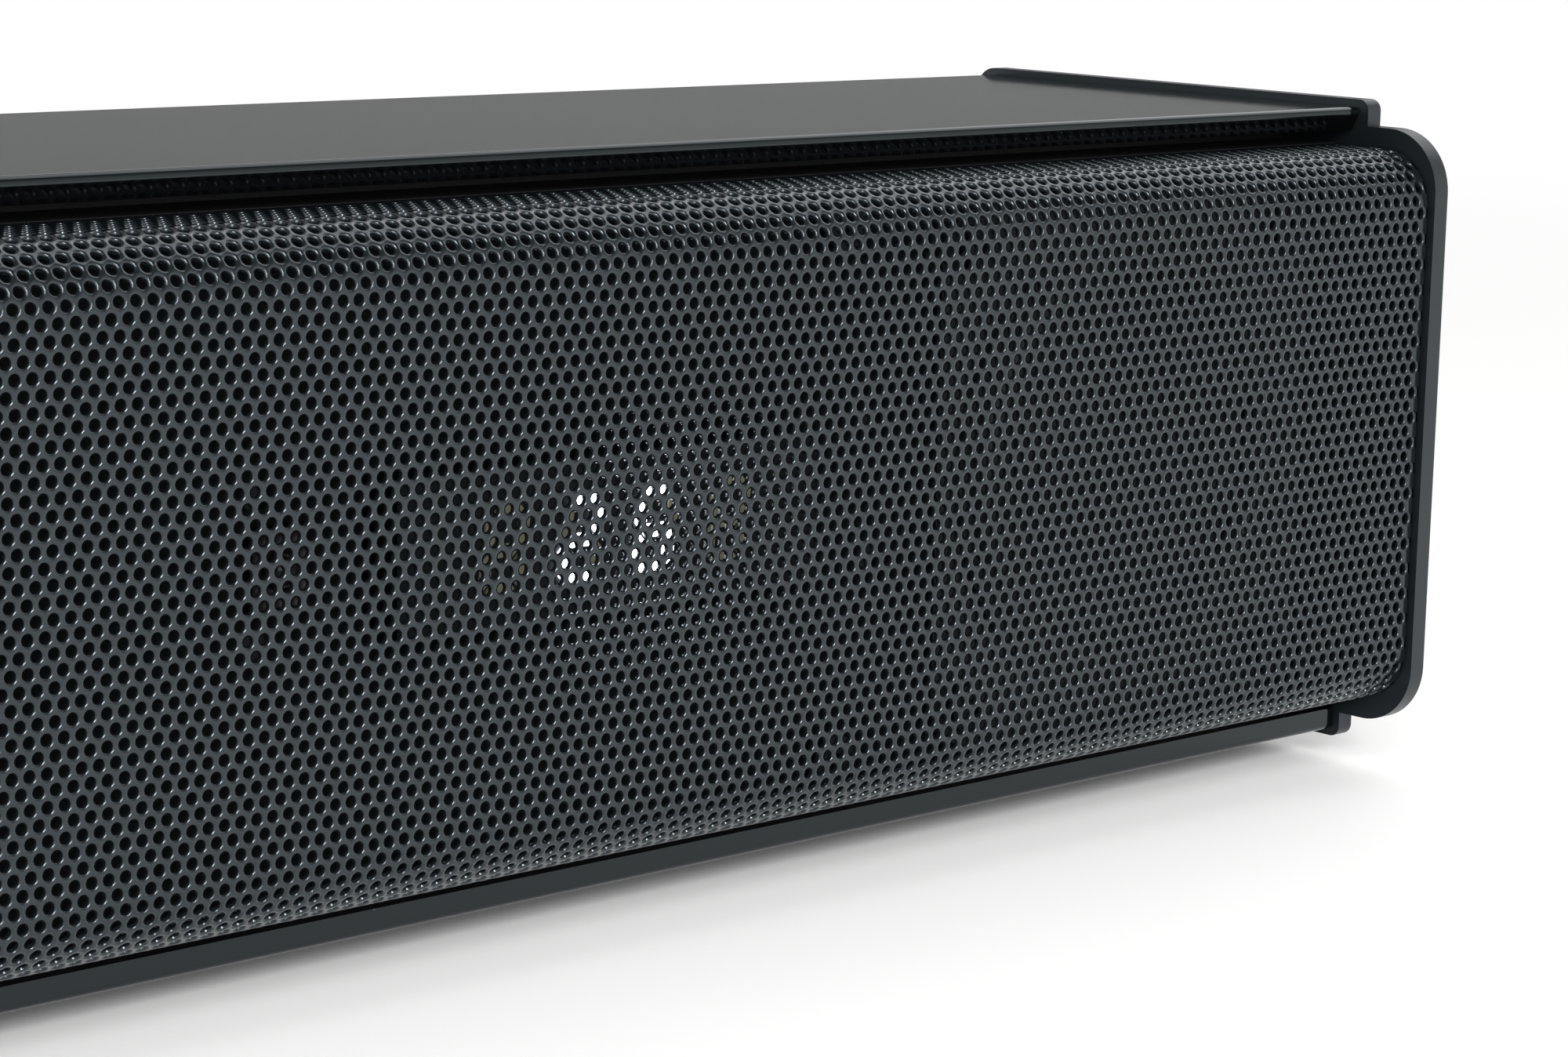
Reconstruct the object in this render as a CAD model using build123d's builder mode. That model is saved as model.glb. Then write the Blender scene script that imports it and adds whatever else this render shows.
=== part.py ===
"""Compact stereo soundbar: a bent front grille between two end plates, with its drivers, boards and buttons.

Millimetres. +Z is up, the front faces -Y, and the origin is the middle of the footprint at table level.
"""

import os
from math import cos, pi, radians, tan

from build123d import *

os.makedirs("parts", exist_ok=True)

# Outer form
BAR_LENGTH = 550.0
PLATE_HEIGHT = 75.0
PLATE_DEPTH = 74.0
PLATE_THICK = 2.5
GROUND_GAP = 3.0
NOSE_STEP = 3.0
NOSE_DEPTH = 10.3
NOSE_RADIUS = 7.0
TAB_RADIUS = 1.3
REAR_RADIUS = 3.0
PLATE_EDGE_ROUND = 0.4

# Slabs above and below the grille
PANEL_THICK = 2.6
PANEL_INSET = 0.85
PANEL_SETBACK = 0.9
PANEL_ROUND = 0.7
PANEL_LEAN = 1.2
PANEL_SLOT = 1.75
PANEL_SLOT_DEPTH = 8.0
BASE_SLOT = 2.3
PANEL_END_GAP = 0.2

# Grille sheet
GRILLE_SHEET = 0.5
GRILLE_SETBACK = 0.8
GRILLE_BEND = 6.5
GRILLE_END_GAP = 0.3
GRILLE_REAR_GAP = 0.4

# Cabinet and baffle
BAFFLE_DEPTH = 10.2
BAFFLE_THICK = 4.0
WALL = 3.0
RIM_WIDTH = 3.0
RIM_DEPTH = 4.0
CABINET_REAR_INSET = 3.0
PARTITION_THICK = 2.5
PARTITION_FROM_DRIVER = 29.0

# Feet
FOOT_RADIUS = 6.0
FOOT_RECESS = 0.6
FOOT_FIT = 0.2
FOOT_ROUND = 0.8
FOOT_FROM_END = 40.0
FOOT_FROM_FRONT = 17.5
FOOT_FROM_REAR = 12.0

# Screws
SCREW_RADIUS = 1.5
SCREW_FIT = 0.05
SCREW_PASS = 0.2
HEAD_RADIUS = 2.8
HEAD_HEIGHT = 1.8
SOCKET_RADIUS = 1.1
SOCKET_DEPTH = 1.0
BOSS_RADIUS = 3.5
BOSS_INSET = 3.2
SCREW_TIP_GAP = 0.5

# Wall keyholes
KEYHOLE_SPACING = 300.0
KEYHOLE_ENTRY_RADIUS = 4.5
KEYHOLE_SLOT_WIDTH = 4.6
KEYHOLE_RISE = 8.0
KEYHOLE_ABOVE_MIDDLE = 11.0
KEYHOLE_POCKET_DEPTH = 6.0
KEYHOLE_POCKET_MARGIN = 1.5
KEYHOLE_POCKET_WALL = 2.0

# Drivers: radii from the driver's axis, depths back from the flange's front face
DRIVER_FROM_END = 43.0
FLANGE_MARGIN = 2.8
FLANGE_CORNER = 6.0
FLANGE_THICK = 1.5
FLANGE_LAND = 5.0
FLANGE_SCREW_INSET = 4.5
GASKET_THICK = 1.0
BASKET_SHEET = 1.2
BASKET_DEPTH = 19.5
BASKET_TAPER = 7.0
BASKET_SEAT_LIP = 3.0
BASKET_SEAT_THICK = 4.0
BASKET_LIP = 3.5
BASKET_WINDOW = 14.0
BASKET_WINDOW_MARGIN = 1.5
BAFFLE_HOLE_FIT = 0.8
TOP_PLATE_THICK = 3.0
MAGNET_THICK = 8.0
YOKE_THICK = 3.0
MOTOR_OVERHANG = 0.5
MAGNET_BORE = 9.5
COIL_RADIUS = 6.3
COIL_WALL = 0.45
COIL_FREE = 0.4
COIL_DIP = 3.8
COIL_LENGTH = 15.0
CONE_THICK = 0.7
CONE_LAND = 1.2
CONE_DEPTH = 10.0
GLUE_GAP = 0.1
DUST_CAP_RADIUS = 9.5
DUST_CAP_RISE = 3.4
DUST_CAP_WALL = 0.6
SURROUND_THICK = 0.5
SURROUND_ROLL = 1.8
SURROUND_LAND = 2.2
SPIDER_THICK = 0.5
SPIDER_LAND = 2.2
SPIDER_WAVE = 0.7
SPIDER_WAVES = 3
SPIDER_STEPS = 24
VENT_RADIUS = 1.5

# Display
DISPLAY_FROM_END = 117.0
DISPLAY_BEHIND_GRILLE = 5.0
DISPLAY_WIDTH = 52.0
DISPLAY_HEIGHT = 14.7
DISPLAY_FIT = 0.3
DISPLAY_BOARD_WIDTH = 84.0
DISPLAY_BOARD_HEIGHT = 22.0
DIGIT_HEIGHT = 8.8
DIGIT_WIDTH = 5.2
DIGIT_PITCH = 9.2
DIGIT_SLANT = 8.0
SEGMENT_WIDTH = 1.3
SEGMENT_GAP = 0.25
SEGMENT_RAISE = 0.25
SHOWN_DIGITS = ("", "2", "6", "")
IR_OFFSET = 36.0
IR_WIDTH = 6.0
IR_HEIGHT = 7.0
IR_BODY = 5.0
IR_LENS_RADIUS = 2.0
IR_FIT = 0.5

# Boards
BOARD_THICK = 1.6
BOARD_HOLE_INSET = 4.0
MAIN_BOARD_WIDTH = 104.0
MAIN_BOARD_DEPTH = 34.0
MAIN_BOARD_RISE = 10.5
STANDOFF_RADIUS = 3.0
CHIP_SIZE = 10.0
CHIP_HEIGHT = 1.2
CHIP_FROM_SIDE = 66.0
CHIP_FROM_FRONT = 10.0
SINK_WIDTH = 26.0
SINK_DEPTH = 16.0
SINK_HEIGHT = 13.0
SINK_BASE = 3.0
SINK_FIN = 1.2
SINK_FIN_COUNT = 6
CAP_RADIUS = 4.0
CAP_HEIGHT = 12.0
CAP_ROUND = 0.6
CAP_FROM_SIDE = 33.0
CAP_PITCH = 11.0
CAP_FROM_FRONT = 8.0
RADIO_WIDTH = 12.0
RADIO_DEPTH = 16.0
RADIO_HEIGHT = 2.2
RADIO_ROUND = 0.5
RADIO_FROM_SIDE = 14.0
RADIO_FROM_FRONT = 14.0

# Rear port tray and its sockets
TRAY_WIDTH = 100.0
TRAY_HEIGHT = 20.0
TRAY_DEPTH = 12.0
TRAY_WALL = 2.0
TRAY_FIT = 0.1
TRAY_FLANGE = 1.0
TRAY_FLANGE_SIDE = 10.0
TRAY_FLANGE_TOP = 3.0
TRAY_SILL = 4.6
TRAY_BOARD_GAP = 1.0
TRAY_SCREW_LENGTH = 7.0
SOCKET_FIT = 0.2
POWER_JACK = (9.0, 14.0, 11.0)
POWER_JACK_FROM_SIDE = 16.0
POWER_JACK_BORE = 3.0
POWER_JACK_BORE_DEPTH = 9.5
POWER_JACK_PIN = 1.0
POWER_JACK_PIN_SHORT = 1.0
AUX_JACK = (8.0, 14.0, 6.0)
AUX_JACK_FROM_SIDE = 16.0
AUX_JACK_BORE = 1.8
AUX_JACK_BORE_DEPTH = 13.0
USB_SOCKET = (14.0, 14.0, 7.0)
USB_SOCKET_X = -13.0
USB_MOUTH = (12.6, 10.0, 5.3)
USB_TONGUE = (11.0, 9.0, 1.9)
USB_TONGUE_LIFT = 0.8
HDMI_SOCKET = (15.0, 11.5, 6.0)
HDMI_SOCKET_X = 12.0
HDMI_MOUTH = (14.0, 9.0, 4.8)
HDMI_TONGUE = (11.0, 8.0, 1.1)
HDMI_TONGUE_LIFT = 0.5

# Buttons on the right end
BUTTON_NAMES = ("power_button", "source_button", "pairing_button", "volume_up_button", "volume_down_button")
BUTTON_FROM_WALL = 7.05
BUTTON_SPACE = 1.0
BUTTON_FIT = 0.3
BUTTON_Y = 8.0
BUTTON_SINK = 0.2
BUTTON_TRAVEL = 0.6
BUTTON_FLANGE = 1.2
BUTTON_FLANGE_THICK = 1.0
BUTTON_SEAT_GAP = 0.1
BUTTON_WELL_FIT = 0.4
BUTTON_STEM = 1.5
BUTTON_STEM_LENGTH = 2.6
BUTTON_CHAMFER = 0.3
SWITCH_SIZE = 6.0
SWITCH_HEIGHT = 3.5
PLUNGER_RADIUS = 1.75
PLUNGER_HEIGHT = 1.0
BUTTON_BOARD_WIDTH = 28.0
BUTTON_BOARD_GAP = 1.55
BUTTON_BOARD_HOLE_INSET = (3.5, 5.5)
BUTTON_BOSS_RADIUS = 2.5

# End plate screws
END_SCREW_Y = (-13.0, 25.0)
END_SCREW_RISE = 18.0
END_BOSS_RADIUS = 3.0
END_BOSS_FIT = 0.1
END_HEAD_RADIUS = 4.2
END_SCREW_SKIN = 1.0

# Base and baffle screws
BASE_SCREW_SPACING = 180.0
BASE_SCREW_ROW_SPACING = 30.0
BASE_BOSS_RISE = 5.0
BASE_SCREW_BITE = 7.0
BAFFLE_SCREW_INNER_X = 80.0
BAFFLE_SCREW_FROM_FLANGE = 13.0
BAFFLE_BOSS_LENGTH = 14.0
BAFFLE_SCREW_BITE = 9.0

# Levels and planes that follow from the sizes above
half_length = BAR_LENGTH / 2
inner_half = half_length - PLATE_THICK
plate_bottom = GROUND_GAP
plate_top = plate_bottom + PLATE_HEIGHT
middle = plate_bottom + PLATE_HEIGHT / 2
nose_front = -PLATE_DEPTH / 2
plate_rear = PLATE_DEPTH / 2
nose_bottom = plate_bottom + NOSE_STEP
nose_top = plate_top - NOSE_STEP
tab_front = nose_front + NOSE_DEPTH
top_face = plate_top - PANEL_INSET
top_under = top_face - PANEL_THICK
base_face = plate_bottom + PANEL_INSET
base_upper = base_face + PANEL_THICK
panel_front = tab_front + PANEL_SETBACK
panel_half = inner_half - PANEL_END_GAP
grille_front = nose_front + GRILLE_SETBACK
grille_top = top_under - PANEL_SLOT
grille_bottom = base_upper + BASE_SLOT
grille_half = inner_half - GRILLE_END_GAP
baffle_front = grille_front + BAFFLE_DEPTH
baffle_top = grille_top - GRILLE_SHEET
baffle_bottom = grille_bottom + GRILLE_SHEET
cabinet_front = baffle_front + BAFFLE_THICK
cabinet_rear = plate_rear - CABINET_REAR_INSET
inside_half = inner_half - WALL
inside_rear = cabinet_rear - WALL
inside_top = top_under - WALL
inside_bottom = base_upper + WALL
grille_rear = cabinet_front - GRILLE_REAR_GAP
panel_middle = (panel_front + cabinet_rear) / 2

driver_x = half_length - DRIVER_FROM_END
DRIVERS = (("left", -driver_x), ("right", driver_x))
flange_size = baffle_top - baffle_bottom - 2 * FLANGE_MARGIN
flange_screw_offset = flange_size / 2 - FLANGE_SCREW_INSET
basket_radius = flange_size / 2 - FLANGE_LAND
seat_radius = basket_radius - BASKET_TAPER
seat_bore = seat_radius - BASKET_SEAT_LIP
motor_radius = seat_radius + MOTOR_OVERHANG
cone_radius = basket_radius - 2 * SURROUND_ROLL - CONE_LAND
flange_rear = baffle_front - GASKET_THICK
flange_front = flange_rear - FLANGE_THICK
seat_rear = flange_front + BASKET_DEPTH
seat_front = seat_rear - BASKET_SEAT_THICK
motor_front = seat_rear
magnet_front = motor_front + TOP_PLATE_THICK
yoke_front = magnet_front + MAGNET_THICK
baffle_hole = basket_radius + BASKET_SHEET + BAFFLE_HOLE_FIT
coil_outer = COIL_RADIUS + COIL_WALL
pole_radius = COIL_RADIUS - COIL_FREE
plate_bore = coil_outer + COIL_FREE
coil_rear = motor_front + COIL_DIP
coil_front = coil_rear - COIL_LENGTH
cone_front = flange_front + GLUE_GAP
cone_neck = cone_front + CONE_DEPTH
partition_x = driver_x - PARTITION_FROM_DRIVER

display_x = half_length - DISPLAY_FROM_END
display_face = grille_front + DISPLAY_BEHIND_GRILLE
display_board_front = cabinet_front
display_board_rear = display_board_front + BOARD_THICK

foot_x = inner_half - FOOT_FROM_END
foot_front = panel_front + FOOT_FROM_FRONT
foot_rear = cabinet_rear - FOOT_FROM_REAR

tray_floor = cabinet_rear - TRAY_DEPTH
board_rear = tray_floor - TRAY_WALL - TRAY_BOARD_GAP
board_front = board_rear - MAIN_BOARD_DEPTH
board_under = inside_bottom + MAIN_BOARD_RISE
board_top = board_under + BOARD_THICK
board_side = MAIN_BOARD_WIDTH / 2
board_hole_x = board_side - BOARD_HOLE_INSET
chip_x = board_side - CHIP_FROM_SIDE
cap_x = board_side - CAP_FROM_SIDE
radio_x = board_side - RADIO_FROM_SIDE
power_jack_x = POWER_JACK_FROM_SIDE - board_side
aux_jack_x = board_side - AUX_JACK_FROM_SIDE
tray_bottom = board_top - TRAY_SILL
tray_middle = tray_bottom + TRAY_HEIGHT / 2
tray_screw_x = TRAY_WIDTH / 2 + TRAY_WALL + TRAY_FLANGE_SIDE / 2

button_pitch = (inside_top - inside_bottom - 2 * BUTTON_FROM_WALL) / (len(BUTTON_NAMES) - 1)
button_flange_radius = (button_pitch - BUTTON_SPACE) / 2
button_radius = button_flange_radius - BUTTON_FLANGE
button_board_height = inside_top - inside_bottom - 2 * BUTTON_BOARD_GAP
button_flange_outer = inner_half - BUTTON_SEAT_GAP
button_stem_end = button_flange_outer - BUTTON_FLANGE_THICK - BUTTON_STEM_LENGTH
plunger_top = button_stem_end - BUTTON_TRAVEL - BUTTON_SEAT_GAP
button_board_outer = plunger_top - PLUNGER_HEIGHT - SWITCH_HEIGHT
button_board_inner = button_board_outer - BOARD_THICK
button_heights = [inside_top - BUTTON_FROM_WALL - button_pitch * i for i in range(len(BUTTON_NAMES))]
button_hole_y = BUTTON_BOARD_WIDTH / 2 - BUTTON_BOARD_HOLE_INSET[0]
button_hole_z = button_board_height / 2 - BUTTON_BOARD_HOLE_INSET[1]

keyhole_z = middle + KEYHOLE_ABOVE_MIDDLE
end_screw_tip = half_length - END_SCREW_SKIN
baffle_screw_outer_x = driver_x - flange_size / 2 - BAFFLE_SCREW_FROM_FLANGE
baffle_screw_x = (BAFFLE_SCREW_INNER_X, baffle_screw_outer_x, inside_half - BOSS_INSET)
baffle_boss_x = [side * x for x in baffle_screw_x for side in (-1, 1)]
baffle_boss_z = (inside_bottom + BOSS_INSET, inside_top - BOSS_INSET)
baffle_screw_spots = [(x, z) for x in baffle_boss_x for z in baffle_boss_z]
end_screw_spots = [(y, middle + rise) for y in END_SCREW_Y for rise in (-END_SCREW_RISE, END_SCREW_RISE)]
display_screw_spots = [
    (display_x + side * (DISPLAY_BOARD_WIDTH / 2 - BOARD_HOLE_INSET), middle + lift)
    for side in (-1, 1)
    for lift in (BOARD_HOLE_INSET - DISPLAY_BOARD_HEIGHT / 2, DISPLAY_BOARD_HEIGHT / 2 - BOARD_HOLE_INSET)
]
main_screw_spots = [
    (side * board_hole_x, y)
    for side in (-1, 1)
    for y in (board_front + BOARD_HOLE_INSET, board_front + MAIN_BOARD_DEPTH / 2)
]
button_screw_spots = [
    (BUTTON_Y + y, middle + z)
    for y in (-button_hole_y, button_hole_y)
    for z in (-button_hole_z, button_hole_z)
]


def front_plane(y):
    """Plane at depth y whose sketch reads (X, Z) and whose extrusions run forwards."""
    return Plane.XZ.offset(-y)


def side_plane(x):
    """Plane at length x whose sketch reads (Y, Z) and whose extrusions run towards +X."""
    return Plane.YZ.offset(x)


def axis_plane(x):
    """Plane through a driver's axis whose sketch reads (radius, Y)."""
    return Plane(origin=(x, 0, middle), x_dir=(1, 0, 0), z_dir=(0, 0, 1))


def driver_axis(x):
    """The axis that a driver's round pieces turn about."""
    return Axis((x, 0, middle), (0, 1, 0))


def export(piece, name):
    """Label a finished piece and write its file."""
    piece.label = name
    export_step(piece, f"parts/{name}.step")


def screw_group(name, seats, direction, bite, head_radius=HEAD_RADIUS):
    """A group of pan-head screws whose heads rest on the seats and whose shanks run along direction."""
    with BuildPart() as screws:
        for seat in seats:
            base = Plane(origin=seat, z_dir=direction)
            with BuildSketch(base):
                Circle(SCREW_RADIUS)
            extrude(amount=bite)
            with BuildSketch(base):
                Circle(head_radius)
            extrude(amount=-HEAD_HEIGHT)
            with BuildSketch(base.offset(-HEAD_HEIGHT)):
                RegularPolygon(SOCKET_RADIUS, 6)
            extrude(amount=SOCKET_DEPTH, mode=Mode.SUBTRACT)
    export(screws.part, name)


# Front grille: the plain bent sheet
with BuildPart() as front_grille:
    with BuildSketch(side_plane(-grille_half)) as sheet:
        with BuildLine():
            path = FilletPolyline(
                (grille_rear, grille_top),
                (grille_front, grille_top),
                (grille_front, grille_bottom),
                (grille_rear, grille_bottom),
                radius=GRILLE_BEND,
            )
            offset(path, amount=-GRILLE_SHEET, side=Side.LEFT)
        make_face()
    extrude(amount=2 * grille_half)
export(front_grille.part, "front_grille")

# Front baffle: carries the drivers and the display
with BuildPart() as front_baffle:
    with BuildSketch(front_plane(cabinet_front)):
        with Locations((0, (baffle_top + baffle_bottom) / 2)):
            Rectangle(2 * grille_half, baffle_top - baffle_bottom)
        with Locations(*[(x, middle) for _, x in DRIVERS]):
            Circle(baffle_hole, mode=Mode.SUBTRACT)
        with Locations((display_x, middle)):
            Rectangle(DISPLAY_WIDTH + 2 * DISPLAY_FIT, DISPLAY_HEIGHT + 2 * DISPLAY_FIT, mode=Mode.SUBTRACT)
        with Locations((display_x - IR_OFFSET, middle)):
            Rectangle(IR_WIDTH + 2 * IR_FIT, IR_HEIGHT + 2 * IR_FIT, mode=Mode.SUBTRACT)
        with Locations(*baffle_screw_spots):
            Circle(SCREW_RADIUS + SCREW_PASS, mode=Mode.SUBTRACT)
        for _, x in DRIVERS:
            with Locations((x, middle)):
                with GridLocations(2 * flange_screw_offset, 2 * flange_screw_offset, 2, 2):
                    Circle(SCREW_RADIUS + SCREW_FIT, mode=Mode.SUBTRACT)
        with Locations(*display_screw_spots):
            Circle(SCREW_RADIUS + SCREW_FIT, mode=Mode.SUBTRACT)
    extrude(amount=BAFFLE_THICK)
export(front_baffle.part, "front_baffle")

# Cabinet: a moulded tub, open at the front, with a step that makes a deep slot under the top panel's edge
with BuildPart() as cabinet:
    with BuildSketch(front_plane(cabinet_rear)):
        with Locations((0, (top_under + base_upper) / 2)):
            Rectangle(2 * inner_half, top_under - base_upper)
    extrude(amount=cabinet_rear - cabinet_front)
    with BuildSketch(front_plane(cabinet_front + PANEL_SLOT_DEPTH)):
        with Locations((0, top_under - PANEL_SLOT / 2)):
            Rectangle(2 * inner_half, PANEL_SLOT)
    extrude(amount=PANEL_SLOT_DEPTH, mode=Mode.SUBTRACT)
    with BuildSketch(front_plane(inside_rear)):
        with Locations((0, (inside_top + inside_bottom) / 2)):
            Rectangle(2 * inside_half, inside_top - inside_bottom)
    extrude(amount=inside_rear - cabinet_front - RIM_DEPTH, mode=Mode.SUBTRACT)
    with BuildSketch(front_plane(cabinet_front + RIM_DEPTH)):
        with Locations((0, (inside_top + inside_bottom) / 2)):
            Rectangle(2 * (inside_half - RIM_WIDTH), inside_top - inside_bottom - 2 * RIM_WIDTH)
    extrude(amount=RIM_DEPTH, mode=Mode.SUBTRACT)
    with BuildSketch(front_plane(inside_rear)):
        with Locations((-partition_x, middle), (partition_x, middle)):
            Rectangle(PARTITION_THICK, inside_top - inside_bottom)
    extrude(amount=inside_rear - cabinet_front)
    with BuildSketch(front_plane(cabinet_front + BAFFLE_BOSS_LENGTH)):
        with Locations(*baffle_screw_spots):
            Circle(BOSS_RADIUS)
    extrude(amount=BAFFLE_BOSS_LENGTH)
    with BuildSketch(front_plane(cabinet_front + BAFFLE_BOSS_LENGTH)):
        with Locations(*baffle_screw_spots):
            Circle(SCREW_RADIUS + SCREW_FIT)
    extrude(amount=BAFFLE_BOSS_LENGTH, mode=Mode.SUBTRACT)
    with BuildSketch(Plane.XY.offset(inside_bottom)):
        with Locations((0, panel_middle)):
            with GridLocations(BASE_SCREW_SPACING, BASE_SCREW_ROW_SPACING, 3, 2):
                Circle(BOSS_RADIUS)
    extrude(amount=BASE_BOSS_RISE)
    with BuildSketch(Plane.XY.offset(base_upper)):
        with Locations((0, panel_middle)):
            with GridLocations(BASE_SCREW_SPACING, BASE_SCREW_ROW_SPACING, 3, 2):
                Circle(SCREW_RADIUS + SCREW_FIT)
    extrude(amount=WALL + BASE_BOSS_RISE, mode=Mode.SUBTRACT)
    with BuildSketch(Plane.XY.offset(inside_bottom)):
        with Locations(*main_screw_spots):
            Circle(STANDOFF_RADIUS)
            Circle(SCREW_RADIUS + SCREW_FIT, mode=Mode.SUBTRACT)
    extrude(amount=MAIN_BOARD_RISE)
    with BuildSketch(side_plane(button_board_outer)):
        with Locations(*button_screw_spots):
            Circle(BUTTON_BOSS_RADIUS)
            Circle(SCREW_RADIUS + SCREW_FIT, mode=Mode.SUBTRACT)
    extrude(amount=inside_half - button_board_outer)
    with BuildSketch(side_plane(inside_half)):
        with Locations(*[(BUTTON_Y, z) for z in button_heights]):
            Circle(button_flange_radius + BUTTON_WELL_FIT)
    extrude(amount=WALL, mode=Mode.SUBTRACT)
    for wall_x in (-inner_half, inside_half):
        with BuildSketch(side_plane(wall_x)):
            with Locations(*end_screw_spots):
                Circle(END_BOSS_RADIUS + END_BOSS_FIT)
        extrude(amount=WALL, mode=Mode.SUBTRACT)
    pocket_width = 2 * (KEYHOLE_ENTRY_RADIUS + KEYHOLE_POCKET_MARGIN)
    pocket_height = pocket_width + KEYHOLE_RISE
    keyhole_middles = [(side * KEYHOLE_SPACING / 2, keyhole_z + KEYHOLE_RISE / 2) for side in (-1, 1)]
    with BuildSketch(front_plane(inside_rear)):
        with Locations(*keyhole_middles):
            Rectangle(pocket_width + 2 * KEYHOLE_POCKET_WALL, pocket_height + 2 * KEYHOLE_POCKET_WALL)
    extrude(amount=KEYHOLE_POCKET_DEPTH + KEYHOLE_POCKET_WALL)
    with BuildSketch(front_plane(inside_rear)):
        with Locations(*keyhole_middles):
            Rectangle(pocket_width, pocket_height)
    extrude(amount=KEYHOLE_POCKET_DEPTH, mode=Mode.SUBTRACT)
    with BuildSketch(front_plane(cabinet_rear)):
        for x, slot_z in keyhole_middles:
            with Locations((x, keyhole_z)):
                Circle(KEYHOLE_ENTRY_RADIUS)
            with Locations((x, slot_z)):
                Rectangle(KEYHOLE_SLOT_WIDTH, KEYHOLE_RISE)
            with Locations((x, keyhole_z + KEYHOLE_RISE)):
                Circle(KEYHOLE_SLOT_WIDTH / 2)
    extrude(amount=WALL, mode=Mode.SUBTRACT)
    with BuildSketch(front_plane(cabinet_rear)):
        with Locations((0, tray_middle)):
            Rectangle(
                TRAY_WIDTH + 2 * (TRAY_WALL + TRAY_FIT),
                TRAY_HEIGHT + 2 * (TRAY_WALL + TRAY_FIT),
            )
        with Locations((-tray_screw_x, tray_middle), (tray_screw_x, tray_middle)):
            Circle(SCREW_RADIUS + SCREW_FIT)
    extrude(amount=WALL, mode=Mode.SUBTRACT)
export(cabinet.part, "cabinet")

# Top panel, whose front face leans back under a rounded edge
with BuildPart() as top_panel:
    with BuildSketch(side_plane(-panel_half)):
        with BuildLine():
            Polyline(
                (panel_front, top_face),
                (panel_front + PANEL_LEAN, top_under),
                (cabinet_rear, top_under),
                (cabinet_rear, top_face),
                close=True,
            )
        make_face()
    extrude(amount=2 * panel_half)
    fillet(top_panel.edges().filter_by(Axis.X).group_by(Axis.Z)[-1].sort_by(Axis.Y)[0], PANEL_ROUND)
export(top_panel.part, "top_panel")

# Base panel, with round recesses for the feet and holes for its screws
with BuildPart() as base_panel:
    with BuildSketch(Plane.XY.offset(base_face)):
        with Locations((0, panel_middle)):
            Rectangle(2 * panel_half, cabinet_rear - panel_front)
    extrude(amount=PANEL_THICK)
    fillet(base_panel.edges().filter_by(Axis.X).group_by(Axis.Z)[0].sort_by(Axis.Y)[0], PANEL_ROUND)
    with BuildSketch(Plane.XY.offset(base_face)):
        with Locations(*[(side * foot_x, y) for side in (-1, 1) for y in (foot_front, foot_rear)]):
            Circle(FOOT_RADIUS + FOOT_FIT)
    extrude(amount=FOOT_RECESS, mode=Mode.SUBTRACT)
    with BuildSketch(Plane.XY.offset(base_face)):
        with Locations((0, panel_middle)):
            with GridLocations(BASE_SCREW_SPACING, BASE_SCREW_ROW_SPACING, 3, 2):
                Circle(SCREW_RADIUS + SCREW_PASS)
    extrude(amount=PANEL_THICK, mode=Mode.SUBTRACT)
export(base_panel.part, "base_panel")

# Rubber feet
with BuildPart() as rubber_feet:
    with BuildSketch(Plane.XY):
        with Locations(*[(side * foot_x, y) for side in (-1, 1) for y in (foot_front, foot_rear)]):
            Circle(FOOT_RADIUS)
    extrude(amount=base_face + FOOT_RECESS)
    fillet(rubber_feet.edges().group_by(Axis.Z)[0], FOOT_ROUND)
export(rubber_feet.part, "rubber_feet")


def end_plate(name, side, button_holes):
    """A thin plate with a rounded nose, stepped tabs and bosses for the screws that hold it."""
    inner = side_plane(side * inner_half)
    with BuildPart() as plate:
        with BuildSketch(inner) as outline:
            with BuildLine():
                Polyline(
                    (nose_front, nose_bottom),
                    (nose_front, nose_top),
                    (tab_front, nose_top),
                    (tab_front, plate_top),
                    (plate_rear, plate_top),
                    (plate_rear, plate_bottom),
                    (tab_front, plate_bottom),
                    (tab_front, nose_bottom),
                    close=True,
                )
            make_face()
            lowest = outline.vertices().group_by(Axis.Y)[0].sort_by(Axis.X)
            highest = outline.vertices().group_by(Axis.Y)[-1].sort_by(Axis.X)
            fillet([lowest[0], highest[0]], TAB_RADIUS)
            fillet(outline.vertices().group_by(Axis.X)[0], NOSE_RADIUS)
            fillet(outline.vertices().group_by(Axis.X)[-1], REAR_RADIUS)
            if button_holes:
                with Locations(*[(BUTTON_Y, z) for z in button_heights]):
                    Circle(button_radius + BUTTON_FIT, mode=Mode.SUBTRACT)
        extrude(amount=side * PLATE_THICK)
        outer_face = plate.faces().sort_by(Axis.X)[-1 if side > 0 else 0]
        fillet(outer_face.outer_wire().edges(), PLATE_EDGE_ROUND)
        with BuildSketch(inner):
            with Locations(*end_screw_spots):
                Circle(END_BOSS_RADIUS)
        extrude(amount=-side * WALL)
        with BuildSketch(side_plane(side * inside_half)):
            with Locations(*end_screw_spots):
                Circle(SCREW_RADIUS + SCREW_FIT)
        extrude(amount=side * (end_screw_tip + SCREW_FIT - inside_half), mode=Mode.SUBTRACT)
    export(plate.part, name)


end_plate("left_end_plate", -1, False)
end_plate("right_end_plate", 1, True)


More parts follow.
